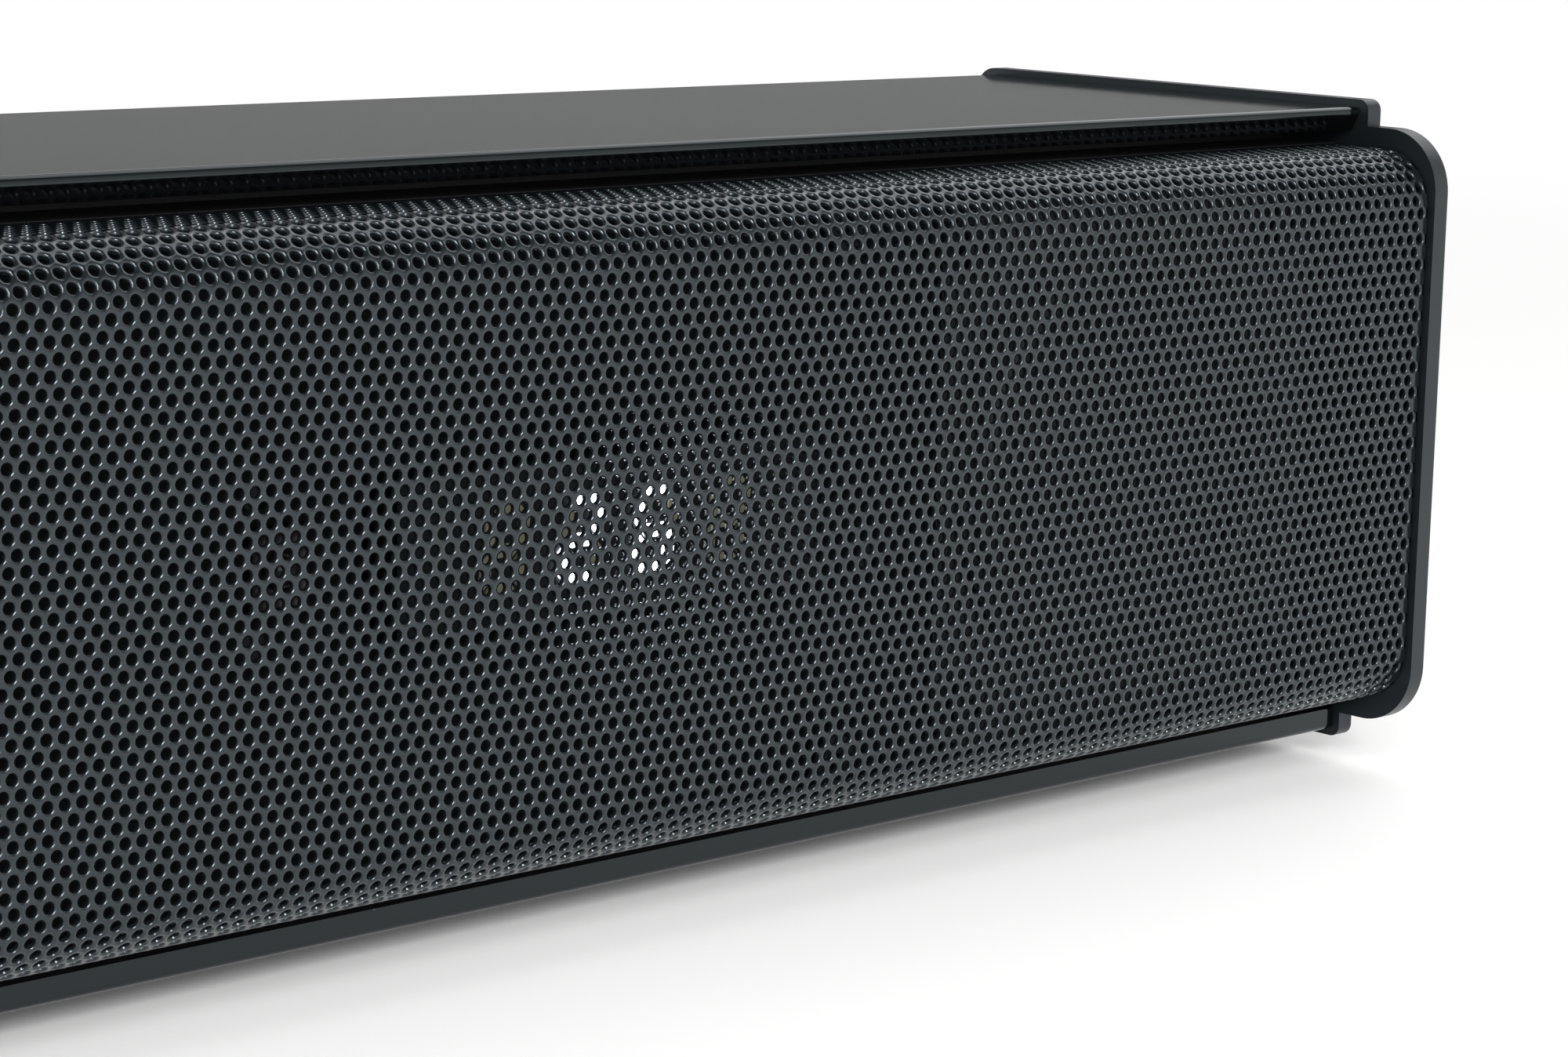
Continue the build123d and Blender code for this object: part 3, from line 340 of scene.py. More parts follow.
def add_node(tree, kind, inputs=None, **settings):
    """Add a node: settings are its properties, inputs are values or the sockets that feed it."""
    node = tree.nodes.new(kind)
    for name, value in settings.items():
        setattr(node, name, value)
    for key, value in (inputs or {}).items():
        if isinstance(value, bpy.types.NodeSocket):
            tree.links.new(value, node.inputs[key])
        else:
            node.inputs[key].default_value = value
    return node


def new_surface(name, **sockets):
    """A material with one principled shader. Returns it with its tree and shader."""
    material = bpy.data.materials.new(name)
    material.use_nodes = True
    tree = material.node_tree
    tree.nodes.clear()
    shader = add_node(tree, "ShaderNodeBsdfPrincipled", sockets)
    add_node(tree, "ShaderNodeOutputMaterial", {"Surface": shader.outputs[0]})
    return material, tree, shader


# Where most values of a noise lie, how far the tone wanders with it, and mm from speck to speck of dust
NOISE_RANGE = {"From Min": 0.3, "From Max": 0.7}
TONE_SPREAD = 0.12
DUST_SPACING = 3.2


def grained(name, colour, roughness, grain, depth, spread=0.12, patch=18.0, dust=0.0, **sockets):
    """A surface with a grain of that size and depth in mm, uneven in tone over patches of that size in mm.

    Spread is how far the roughness wanders. Dust is the radius in mm of the pale specks that lie on it.
    """
    material, tree, shader = new_surface(name, **sockets)
    place = add_node(tree, "ShaderNodeTexCoord").outputs["Object"]
    fine = add_node(tree, "ShaderNodeTexNoise", {"Vector": place, "Scale": 1 / (grain * MM), "Detail": 3.0})
    broad = add_node(tree, "ShaderNodeTexNoise", {"Vector": place, "Scale": 1 / (patch * MM), "Detail": 4.0})
    tone = add_node(
        tree,
        "ShaderNodeMapRange",
        {
            "Value": broad.outputs["Fac"],
            **NOISE_RANGE,
            "To Min": 1 - TONE_SPREAD,
            "To Max": 1 + TONE_SPREAD,
        },
    )
    base = add_node(
        tree,
        "ShaderNodeMix",
        {"Factor": 1.0, "A": colour, "B": tone.outputs["Result"]},
        data_type="RGBA",
        blend_type="MULTIPLY",
    )
    tint = base.outputs["Result"]
    rough = add_node(
        tree,
        "ShaderNodeMapRange",
        {
            "Value": fine.outputs["Fac"],
            **NOISE_RANGE,
            "To Min": roughness * (1 - spread),
            "To Max": roughness * (1 + spread),
        },
    )
    bump = add_node(
        tree,
        "ShaderNodeBump",
        {"Height": fine.outputs["Fac"], "Strength": 1.0, "Distance": depth * MM},
    )
    if dust:
        cells = add_node(tree, "ShaderNodeTexVoronoi", {"Vector": place, "Scale": 1 / (DUST_SPACING * MM)})
        speck = add_node(
            tree,
            "ShaderNodeMath",
            {0: cells.outputs["Distance"], 1: dust / DUST_SPACING},
            operation="LESS_THAN",
        )
        dusty = add_node(
            tree,
            "ShaderNodeMix",
            {"Factor": speck.outputs[0], "A": tint, "B": linear("#8d9294")},
            data_type="RGBA",
        )
        tint = dusty.outputs["Result"]
    tree.links.new(tint, shader.inputs["Base Color"])
    tree.links.new(rough.outputs["Result"], shader.inputs["Roughness"])
    tree.links.new(bump.outputs["Normal"], shader.inputs["Normal"])
    return material


def dress(material, *nodes):
    """Give the CAD nodes of these names this material."""
    for name in nodes:
        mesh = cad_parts[name].data
        mesh.materials.clear()
        mesh.materials.append(material)


def add_object(mesh, material, slot, *replaced):
    """Put a mesh in the scene in this material, in place of the CAD nodes that it stands for. The slot is
    not used.
    """
    mesh.materials.append(material)
    made = bpy.data.objects.new(mesh.name, mesh)
    bpy.context.scene.collection.objects.link(made)
    if replaced:
        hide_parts(*replaced)
    return made


def mesh_from_faces(name, points, normals, corners, sizes, spots):
    """A smooth mesh from arrays: points, normals, the corners of all faces, corners per face, map places."""
    mesh = bpy.data.meshes.new(name)
    mesh.vertices.add(len(points))
    mesh.vertices.foreach_set("co", np.ascontiguousarray(points, np.float32).ravel())
    mesh.loops.add(len(corners))
    mesh.loops.foreach_set("vertex_index", corners.astype(np.int32))
    mesh.polygons.add(len(sizes))
    mesh.polygons.foreach_set("loop_start", (np.cumsum(sizes) - sizes).astype(np.int32))
    layer = mesh.uv_layers.new(name="OFBake")
    layer.uv.foreach_set("vector", np.ascontiguousarray(spots, np.float32).ravel())
    mesh.update(calc_edges=True)
    mesh.validate()
    mesh.shade_smooth()
    mesh.normals_split_custom_set_from_vertices(normals)
    return mesh


# Grille

# Points round a hole: the corners of its six-sided cell and the middles of the sides between them
SIDES = 12
TURNS = np.arange(SIDES) * pi / (SIDES / 2)
SPOKES = np.stack([np.cos(TURNS), np.sin(TURNS)], axis=-1)
# Points whose keys are the same are one corner, and a key's first part counts in rows of this many
KEYS_PER_METRE = 1e7
KEY_ROW = 10**8
ON_BORDER = 1e-9
SMALLEST_CELL = 1e-10
# A hole may lie this share of the margin from the sheet's end, a little less than all of it
END_SHARE = 0.99
# The flat map: its empty edge, the shares of a hole's radius where its wall starts and ends, and how many
# times the sheet's reach the back is moved up
MAP_EDGE = 0.01
MAP_WALL = 0.7
MAP_END = 0.3
MAP_BACK = 2.1


class Sheet:
    """The grille's bent sheet, with places on it given along it and round it from mid height."""

    def __init__(self, settings):
        self.low, self.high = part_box("front_grille")
        self.bend = settings.bend
        self.middle = (self.low.z + self.high.z) / 2
        self.flat = (self.high.z - self.low.z) / 2 - settings.bend
        self.flange = self.high.y - self.low.y - settings.bend
        self.reach = self.flat + settings.bend * pi / 2 + self.flange

    def points(self, along, around, depth):
        """Places in the frame of points that lie this deep under the outer face."""
        past = np.abs(around) - self.flat
        turn = np.clip(past / self.bend, 0, pi / 2)
        radius = self.bend - depth
        y = self.low.y + self.bend - radius * np.cos(turn) + np.maximum(past - self.bend * pi / 2, 0)
        bent = self.middle + np.sign(around) * (self.flat + radius * np.sin(turn))
        z = np.where(past > 0, bent, self.middle + around)
        return np.stack([along, y, z], axis=-1)

    def directions(self, around):
        """Outward and upward directions of the sheet at places round it."""
        turn = np.clip((np.abs(around) - self.flat) / self.bend, 0, pi / 2)
        rise = np.sign(around) * np.sin(turn)
        level = np.zeros_like(turn)
        outward = np.stack([level, -np.cos(turn), rise], axis=-1)
        return outward, np.stack([level, rise, np.cos(turn)], axis=-1)


def next_round(values):
    """The values moved on by one place round each cell."""
    return np.roll(values, -1, axis=1)


def hole_cells(settings, sheet):
    """Middles of the six-sided cells that tile the sheet, their edge points, and which have a hole."""
    half = sheet.high.x
    run = 2 * (half - settings.end_margin)
    columns = round(run / settings.pitch)
    pitch = run / columns
    row = pitch * sqrt(3) / 2
    start = settings.row_level - sheet.middle
    rows = np.arange(floor((-sheet.reach - start) / row), ceil((sheet.reach - start) / row) + 1)
    steps = np.arange(-1, columns + 2)
    x = half - settings.end_margin - pitch * (steps[None, :] + (rows[:, None] % 2) / 2)
    s = np.broadcast_to(start + row * rows[:, None], x.shape)
    middles = np.stack([x.ravel(), s.ravel()], axis=-1)
    reach = np.where(np.arange(SIDES) % 2, pitch / sqrt(3), pitch / 2)
    edges = middles[:, None, :] + reach[:, None] * SPOKES
    edges = np.clip(edges, (-half, -sheet.reach), (half, sheet.reach))
    inside_ends = np.abs(middles[:, 0]) <= half - END_SHARE * settings.end_margin
    holed = inside_ends & (np.abs(middles[:, 1]) <= sheet.reach - settings.rear_margin)
    following = next_round(edges)
    area = (edges[..., 0] * following[..., 1] - edges[..., 1] * following[..., 0]).sum(axis=1) / 2
    keep = area > SMALLEST_CELL
    return middles[keep], edges[keep], holed[keep]


class Faces:
    """Faces of a section: their corners, how many each has, and their places on the flat map."""

    def __init__(self):
        self.corners, self.sizes, self.spots = [], [], []

    def add_quads(self, ids, spots):
        """Add many quads: four arrays of corners and four of map places, in order round each quad."""
        self.corners.append(np.stack(ids, axis=-1).reshape(-1))
        self.sizes.append(np.full(ids[0].size, 4))
        self.spots.append(np.stack(spots, axis=-2).reshape(-1, 2))

    def add_loop(self, ids, spots):
        """Add one face with any number of corners."""
        self.corners.append(ids)
        self.sizes.append(np.array([len(ids)]))
        self.spots.append(spots)

    def arrays(self):
        """All corners, sizes and map places, with the map fitted to the unit square."""
        spots = np.concatenate(self.spots)
        low, high = spots.min(axis=0), spots.max(axis=0)
        spots = MAP_EDGE + (1 - 2 * MAP_EDGE) * (spots - low) / (high - low)
        return np.concatenate(self.corners), np.concatenate(self.sizes), spots


def add_plain_cells(faces, corner, edges, back, back_map):
    """Add the cells without a hole, front and back."""
    for ids, at in zip(corner, edges):
        kept = ids != np.roll(ids, 1)
        loop, spots = ids[kept], at[kept]
        faces.add_loop(loop, spots)
        faces.add_loop(loop[::-1] + back, spots[::-1] + back_map)


def add_cut_edges(faces, sheet, thick, corner, edges, back):
    """Add the strips that join front and back along the borders of the sheet, each facing outwards."""
    limit = np.array([sheet.high.x, sheet.reach])
    side = np.sign(edges) * (np.abs(edges) > limit - ON_BORDER)
    outward = side * (side * next_round(side) > 0)
    step = next_round(edges) - edges
    onward = outward[..., 0] * step[..., 1] > outward[..., 1] * step[..., 0]
    both = onward & (corner != next_round(corner))
    pairs = np.stack([corner[both], next_round(corner)[both]])
    # Neighbouring cells can share a stretch of the border, which is added once
    once = np.sort(np.unique(pairs, axis=1, return_index=True)[1])
    near, far = pairs[:, once]
    at, next_at = edges[both][once], next_round(edges)[both][once]
    out = thick * side[both][once]
    faces.add_quads([far, near, near + back, far + back], [next_at, at, at + out, next_at + out])


def grille_section(name, settings, sheet, middles, edges, holed):
    """Mesh of one length of the sheet: rounded holes, plain cells at the borders, a back and cut edges."""
    keys = np.rint(edges * KEYS_PER_METRE).astype(np.int64)
    keys = keys[..., 0] * KEY_ROW + keys[..., 1]
    _, first, corner = np.unique(keys, return_index=True, return_inverse=True)
    corner = corner.reshape(edges.shape[:2])
    shared = edges.reshape(-1, 2)[first]
    radius = settings.hole / 2
    radii = (radius + settings.rim, radius, MAP_WALL * radius, MAP_END * radius)
    lip, wall, map_wall, map_end = (middles[holed][:, None, :] + r * SPOKES for r in radii)
    deep = settings.sheet
    layers = [(shared, 0.0), (shared, deep), (lip, 0.0), (wall, settings.rim_depth), (wall, deep)]
    points = [sheet.points(at[..., 0].ravel(), at[..., 1].ravel(), depth) for at, depth in layers]
    starts = np.cumsum([0] + [len(layer) for layer in points])
    face_out = sheet.directions(shared[:, 1])[0]
    lip_out, upward = sheet.directions(lip[..., 1].ravel())
    spoke = np.tile(SPOKES, (len(lip), 1))
    wall_out = -spoke[:, :1] * np.array([1.0, 0.0, 0.0]) - spoke[:, 1:] * upward
    tilts = (settings.lip_tilt, settings.mouth_tilt)
    lip_facing, mouth_facing = (cos(t) * lip_out + sin(t) * wall_out for t in tilts)
    normals = np.concatenate([face_out, -face_out, lip_facing, mouth_facing, wall_out])
    ring = np.arange(len(lip) * SIDES).reshape(-1, SIDES)
    lip_id, mouth_id, end_id = (ring + starts[i] for i in (2, 3, 4))
    back = starts[1]
    back_map = np.array([0.0, MAP_BACK * sheet.reach])
    front_edge = edges[holed]
    bands = [
        (corner[holed], front_edge, lip_id, lip),
        (lip_id, lip, mouth_id, map_wall),
        (mouth_id, map_wall, end_id, map_end),
        (end_id, wall + back_map, corner[holed] + back, front_edge + back_map),
    ]
    faces = Faces()
    for ids_a, map_a, ids_b, map_b in bands:
        faces.add_quads(
            [ids_a, next_round(ids_a), next_round(ids_b), ids_b],
            [map_a, next_round(map_a), next_round(map_b), map_b],
        )
    add_plain_cells(faces, corner[~holed], edges[~holed], back, back_map)
    add_cut_edges(faces, sheet, deep, corner, edges, back)
    return mesh_from_faces(name, np.concatenate(points), normals, *faces.arrays())


class SOUNDBAR_OT_grille(bpy.types.Operator):
    """Builds the perforated sheet in sections and paints it"""

    bl_idname = "soundbar.grille"
    bl_label = "Perforated grille"

    def execute(self, context):
        settings = context.scene.soundbar_grille
        colours = context.scene.soundbar_colours
        # Powder-coated steel: nearly black, but it mirrors the white table and rings each hole in light
        paint = grained(
            "powder_coated_steel",
            colours.grille,
            roughness=0.17,
            grain=0.16,
            depth=0.003,
            patch=30.0,
            **{"IOR": 1.6, "Specular Tint": colours.gloss},
        )
        sheet = Sheet(settings)
        middles, edges, holed = hole_cells(settings, sheet)
        share = (middles[:, 0] + sheet.high.x) / (2 * sheet.high.x)
        section = np.clip((share * settings.sections).astype(int), 0, settings.sections - 1)
        for i in range(settings.sections):
            chosen = section == i
            name = f"grille_section_{i + 1}"
            mesh = grille_section(name, settings, sheet, middles[chosen], edges[chosen], holed[chosen])
            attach(add_object(mesh, paint, "grille_paint", "front_grille"), "bar")
        return {"FINISHED"}


# Enclosure


class SOUNDBAR_OT_enclosure(bpy.types.Operator):
    """Finishes the panels, end plates, cabinet, baffle, port tray and feet"""

    bl_idname = "soundbar.enclosure"
    bl_label = "Enclosure"

    def execute(self, context):
        colours = context.scene.soundbar_colours
        cool = {"Specular Tint": colours.gloss}
        # Polished ABS: nearly black by itself, so the eye sees the tent in it, with a little dust
        gloss = grained(
            "polished_abs",
            colours.panel,
            roughness=0.1,
            grain=0.9,
            depth=0.0001,
            spread=0.2,
            dust=0.05,
            **cool,
        )
        dress(gloss, "top_panel", "base_panel")
        # Moulded ABS with a satin texture: its edges catch a grey line and its faces stay dark
        satin = grained("satin_moulded_abs", colours.plate, 0.36, grain=0.18, depth=0.004, **cool)
        dress(satin, "left_end_plate", "right_end_plate")
        # Spark-textured ABS: a coarser grain that scatters all highlights
        dull = {"Specular IOR Level": 0.4}
        spark = grained("spark_textured_abs", colours.cabinet, 0.55, grain=0.35, depth=0.02, **dull)
        dress(spark, "cabinet", "port_tray")
        # Flocked black paint on the baffle: it swallows the light that comes in through the holes
        duller = {"Specular IOR Level": 0.15}
        flocked = grained("flocked_paint", linear("#070708"), 0.9, grain=0.2, depth=0.02, **duller)
        dress(flocked, "front_baffle")
        # Moulded rubber: matt and slightly bloomed
        rubber = grained("moulded_rubber", linear("#1b1b1b"), 0.75, grain=0.5, depth=0.02, patch=6.0)
        dress(rubber, "rubber_feet")
        return {"FINISHED"}


# Drivers

# Steps over a surround's roll and round a sector of it, and the angle from which an edge of it is sharp
ROLL_STEPS = 16
SECTOR_STEPS = 6
SHARP_ANGLE = radians(40)


def surround_outline(settings, inner, outer):
    """Closed outline of a surround, two lands and a half roll, as points of radius and height."""
    thick = settings.rubber
    roll = (outer - settings.land - inner) / 2
    middle = inner + roll
    edge = inner - settings.glued
    turns = [pi * i / ROLL_STEPS for i in range(ROLL_STEPS + 1)]
    below = [(middle - roll * cos(t), roll * sin(t)) for t in turns]
    above = [(middle - (roll + thick) * cos(t), max(thick, (roll + thick) * sin(t))) for t in turns]
    return [(edge, 0.0), *below, (outer, 0.0), (outer, thick), *reversed(above), (edge, thick)]


def sector_mesh(name, outline, centre, start, end):
    """Part of a ring about a driver's axis, from points of radius and height, between two turns."""
    radius, height = np.array(outline).T
    turns = np.linspace(start, end, SECTOR_STEPS + 1)[:, None]
    x = centre.x + radius * np.cos(turns)
    z = centre.z + radius * np.sin(turns)
    y = np.broadcast_to(centre.y - height, x.shape)
    count = len(outline)
    faces = []
    for i in range(SECTOR_STEPS):
        for j in range(count):
            k = (j + 1) % count
            faces.append((i * count + j, (i + 1) * count + j, (i + 1) * count + k, i * count + k))
    mesh = bpy.data.meshes.new(name)
    mesh.from_pydata(np.stack([x, y, z], axis=-1).reshape(-1, 3).tolist(), [], faces)
    mesh.validate()
    mesh.shade_smooth()
    mesh.set_sharp_from_angle(angle=SHARP_ANGLE)
    return mesh


class SOUNDBAR_OT_drivers(bpy.types.Operator):
    """Finishes the two drivers and builds the surrounds round their cones, in sectors"""

    bl_idname = "soundbar.drivers"
    bl_label = "Drivers"

    def execute(self, context):
        # Electrocoated pressed steel: thin black paint, smooth with a soft sheen
        coated = grained("electrocoated_steel", linear("#0f1011"), 0.45, grain=0.3, depth=0.003)
        # Zinc-plated steel: a cool grey metal with faint turning marks
        plated = grained("zinc_plated_steel", linear("#a9adb0"), 0.34, grain=0.25, depth=0.003, Metallic=1.0)
        # Closed-cell foam: dull, with open pores where it was cut
        foam = grained("die_cut_foam", linear("#101010"), 0.95, grain=0.4, depth=0.08)
        # Butyl rubber: a soft matt black
        butyl = grained("butyl_rubber", linear("#0e0e0e"), 0.6, grain=0.6, depth=0.01)
        # Pressed paper pulp: dyed fibres that show as a fine uneven felt
        paper = grained("pressed_paper_pulp", linear("#141416"), 0.85, grain=0.5, depth=0.05, patch=3.0)
        # Enamelled copper wire: bright windings under lacquer
        copper = grained("enamelled_copper", linear("#b8713f"), 0.3, grain=0.2, depth=0.02, Metallic=1.0)
        # Impregnated cotton: a stiff amber cloth
        cotton = grained("impregnated_cotton", linear("#b08a4a"), 0.8, grain=0.35, depth=0.05, patch=4.0)
        # Sintered ferrite: ground, dark grey and grainy
        ferrite = grained("sintered_ferrite", linear("#37383a"), 0.5, grain=0.3, depth=0.01, patch=5.0)
        for side in ("left", "right"):
            dress(coated, f"{side}_driver_basket")
            dress(plated, f"{side}_driver_top_plate", f"{side}_yoke")
            dress(foam, f"{side}_driver_gasket")
            self.add_surround(context.scene.soundbar_surround, side, butyl)
            dress(paper, f"{side}_cone", f"{side}_dust_cap")
            dress(copper, f"{side}_voice_coil")
            dress(cotton, f"{side}_spider")
            dress(ferrite, f"{side}_magnet")
        return {"FINISHED"}

    def add_surround(self, settings, side, rubber):
        """A ring in sectors, with a land on the driver's flange and a glued edge on the cone."""
        low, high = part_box(f"{side}_cone_surround")
        cone_low, cone_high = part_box(f"{side}_cone")
        outer, inner = (high.x - low.x) / 2, (cone_high.x - cone_low.x) / 2
        centre = Vector(((low.x + high.x) / 2, high.y, (low.z + high.z) / 2))
        outline = surround_outline(settings, inner, outer)
        step = 2 * pi / settings.sectors
        for i in range(settings.sectors):
            mesh = sector_mesh(f"{side}_surround_sector_{i + 1}", outline, centre, i * step, (i + 1) * step)
            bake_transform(add_object(mesh, rubber, "surround_rubber", f"{side}_cone_surround"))


# Display


class SOUNDBAR_OT_display(bpy.types.Operator):
    """Finishes the display and its receiver"""

    bl_idname = "soundbar.display"
    bl_label = "Display"

    def execute(self, context):
        colours = context.scene.soundbar_colours
        # Printed polycarbonate: the display's matt black face, which keeps the lit segments crisp
        dull = {"Specular IOR Level": 0.3}
        face = grained("printed_polycarbonate", linear("#070708"), 0.5, grain=0.2, depth=0.004, **dull)
        dress(face, "display_housing")
        # Infrared-passing epoxy: a smooth, nearly black lens
        lens = grained("infrared_epoxy", linear("#120a0d"), 0.12, grain=1.0, depth=0.0005)
        dress(lens, "infrared_receiver")
        # Diffusing epoxy over a lamp: an even cool white
        glow = {"Emission Color": colours.lit, "Emission Strength": 8.0}
        dress(grained("lit_epoxy", colours.lit, 0.5, grain=0.3, depth=0.002, **glow), "lit_segments")
        # The same epoxy with its lamp off: milky olive, seen as pale dots through the holes
        unlit = grained("unlit_epoxy", colours.unlit, 0.5, grain=0.3, depth=0.002)
        dress(unlit, "unlit_segments")
        return {"FINISHED"}


# Boards and sockets


class SOUNDBAR_OT_boards(bpy.types.Operator):
    """Finishes the circuit boards and what stands on them"""

    bl_idname = "soundbar.boards"
    bl_label = "Boards and sockets"

    def execute(self, context):
        # Solder-masked glass laminate: green lacquer with the weave of the glass under it
        laminate = grained("solder_masked_laminate", linear("#1d4a30"), 0.35, grain=0.5, depth=0.004)
        dress(laminate, "display_board", "main_board", "button_board")
        # Moulded epoxy and nylon: matt black bodies
        epoxy = grained("moulded_epoxy", linear("#1a1a1b"), 0.6, grain=0.15, depth=0.006)
        dress(epoxy, "amplifier_chip", "power_jack", "audio_jack", "button_switches")
        # Extruded aluminium: bare, with a dull even lustre
        metal = {"Metallic": 1.0}
        extruded = grained("extruded_aluminium", linear("#c4c6c8"), 0.4, grain=0.3, depth=0.004, **metal)
        dress(extruded, "heat_sink", "capacitors")
        # Nickel-plated steel: smooth and bright
        nickel = grained("nickel_plated_steel", linear("#b9b6b0"), 0.24, grain=0.4, depth=0.001, **metal)
        dress(nickel, "usb_socket", "hdmi_socket", "wireless_module")
        return {"FINISHED"}


# Buttons

# Least cosine of half a corner's turn, which keeps a line's sharp corners from running out in spikes
MITRE_LIMIT = 0.4


def band(points, width, closed=False):
    """Outline strip along a line of (y, z) points: left and right edges, mitred at the joints."""
    line = np.array(points, float)
    ahead = np.roll(line, -1, axis=0) - line
    if not closed:
        ahead[-1] = ahead[-2]
    behind = np.roll(ahead, 1, axis=0)
    if not closed:
        behind[0] = ahead[0]
    ahead /= np.linalg.norm(ahead, axis=1)[:, None]
    behind /= np.linalg.norm(behind, axis=1)[:, None]
    tangent = (ahead + behind) / np.linalg.norm(ahead + behind, axis=1)[:, None]
    widen = width / 2 / np.clip((tangent * ahead).sum(axis=1), MITRE_LIMIT, 1)
    normal = np.stack([-tangent[:, 1], tangent[:, 0]], axis=-1) * widen[:, None]
    return line + normal, line - normal, closed


def arc(centre, radius, start, end, steps=28):
    """Points on an arc, in degrees from the +Y axis."""
    turns = [radians(start + (end - start) * i / steps) for i in range(steps + 1)]
    return [(centre[0] + radius * cos(t), centre[1] + radius * sin(t)) for t in turns]


def mark_mesh(name, bands, centre, face, height):
    """Thin raised mark on a button's cap, from strips in mm round the cap's middle."""
    points, corners = [], []
    for left, right, closed in bands:
        count = len(left)
        start = len(points)
        for deep in (face - height, face + height):
            for side in (left, right):
                points += [(deep, centre[0] + y * MM, centre[1] + z * MM) for y, z in side]
        for i in range(count if closed else count - 1):
            j = (i + 1) % count
            low_left, low_right, left_edge, right_edge = (start + k * count for k in range(4))
            corners += [
                (left_edge + i, right_edge + i, right_edge + j, left_edge + j),
                (low_left + i, left_edge + i, left_edge + j, low_left + j),
                (right_edge + i, low_right + i, low_right + j, right_edge + j),
            ]
    mesh = bpy.data.meshes.new(name)
    mesh.from_pydata(points, [], corners)
    mesh.validate()
    return mesh


# Width and height of the marks' lines in mm
STROKE = 0.42
INK = 0.03
MARKS = {
    "power_button": (
        band(arc((0, -0.1), 1.45, 125, 415), STROKE),
        band([(0, 0.2), (0, 1.75)], STROKE),
    ),
    "source_button": (
        band([(-0.3, 1.4), (1.6, 1.4), (1.6, -1.4), (-0.3, -1.4)], STROKE),
        band([(-1.8, 0), (0.7, 0)], STROKE),
        band([(0.0, 0.75), (0.75, 0), (0.0, -0.75)], STROKE),
    ),
    "pairing_button": (
        band(arc((-0.75, 0), 1.0, 0, 360)[:-1], STROKE, closed=True),
        band(arc((0.75, 0), 1.0, 0, 360)[:-1], STROKE, closed=True),
    ),
    "volume_up_button": (
        band([(-1.5, 0), (1.5, 0)], STROKE),
        band([(0, 0.21), (0, 1.5)], STROKE),
        band([(0, -1.5), (0, -0.21)], STROKE),
    ),
    "volume_down_button": (band([(-1.5, 0), (1.5, 0)], STROKE),),
}


class SOUNDBAR_OT_buttons(bpy.types.Operator):
    """Finishes the buttons and adds the mark on each cap"""

    bl_idname = "soundbar.buttons"
    bl_label = "Buttons"

    def execute(self, context):
        # Satin ABS caps, worn a little smoother than the plate by fingers
        cap = grained("satin_button_abs", linear("#1c1f21"), 0.32, grain=0.15, depth=0.002)
        # Pad-printed ink: a thin pale grey film
        ink = grained("pad_printed_ink", linear("#b9bcbc"), 0.6, grain=0.1, depth=0.002, patch=1.0)
        for name, bands in MARKS.items():
            dress(cap, name)
            low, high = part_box(name)
            middle = (low + high) / 2
            mesh = mark_mesh(f"{name}_mark", bands, (middle.y, middle.z), high.x, INK * MM)
            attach(add_object(mesh, ink, "button_plastic"), f"{name}_body")
        return {"FINISHED"}


# Screws


class SOUNDBAR_OT_screws(bpy.types.Operator):
    """Finishes all the screws"""

    bl_idname = "soundbar.screws"
    bl_label = "Screws"

    def execute(self, context):
        # Black zinc on steel: a dark metal with a faint grain from the plating
        zinc = grained("black_zinc_steel", linear("#3a3b3d"), 0.42, grain=0.15, depth=0.004, Metallic=1.0)
        dress(zinc, *[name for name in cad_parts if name.endswith("_screws")])
        return {"FINISHED"}


# Stage

# Width of the camera's sensor in mm, and half the width of the paper
SENSOR = 36.0
FLOOR = 8.0
# Distances from the bar's middle over which the paper fades to plain white
FADE_START = 0.45
FADE_END = 1.1
# Heights in the tent, from 0 straight down to 1 straight up, between which its level changes
HORIZON_END = 0.25
WORLD_START = 0.75
# The card's folds seen from above, and the heights of its lower and upper edges
CARD_FOLDS = ((1.55, 0.45), (0.0, 1.55), (-1.55, 1.55))
CARD_EDGES = (0.02, 0.35)
# Point that the softboxes face
LAMP_AIM = Vector((0.1, 0.0, 0.04))


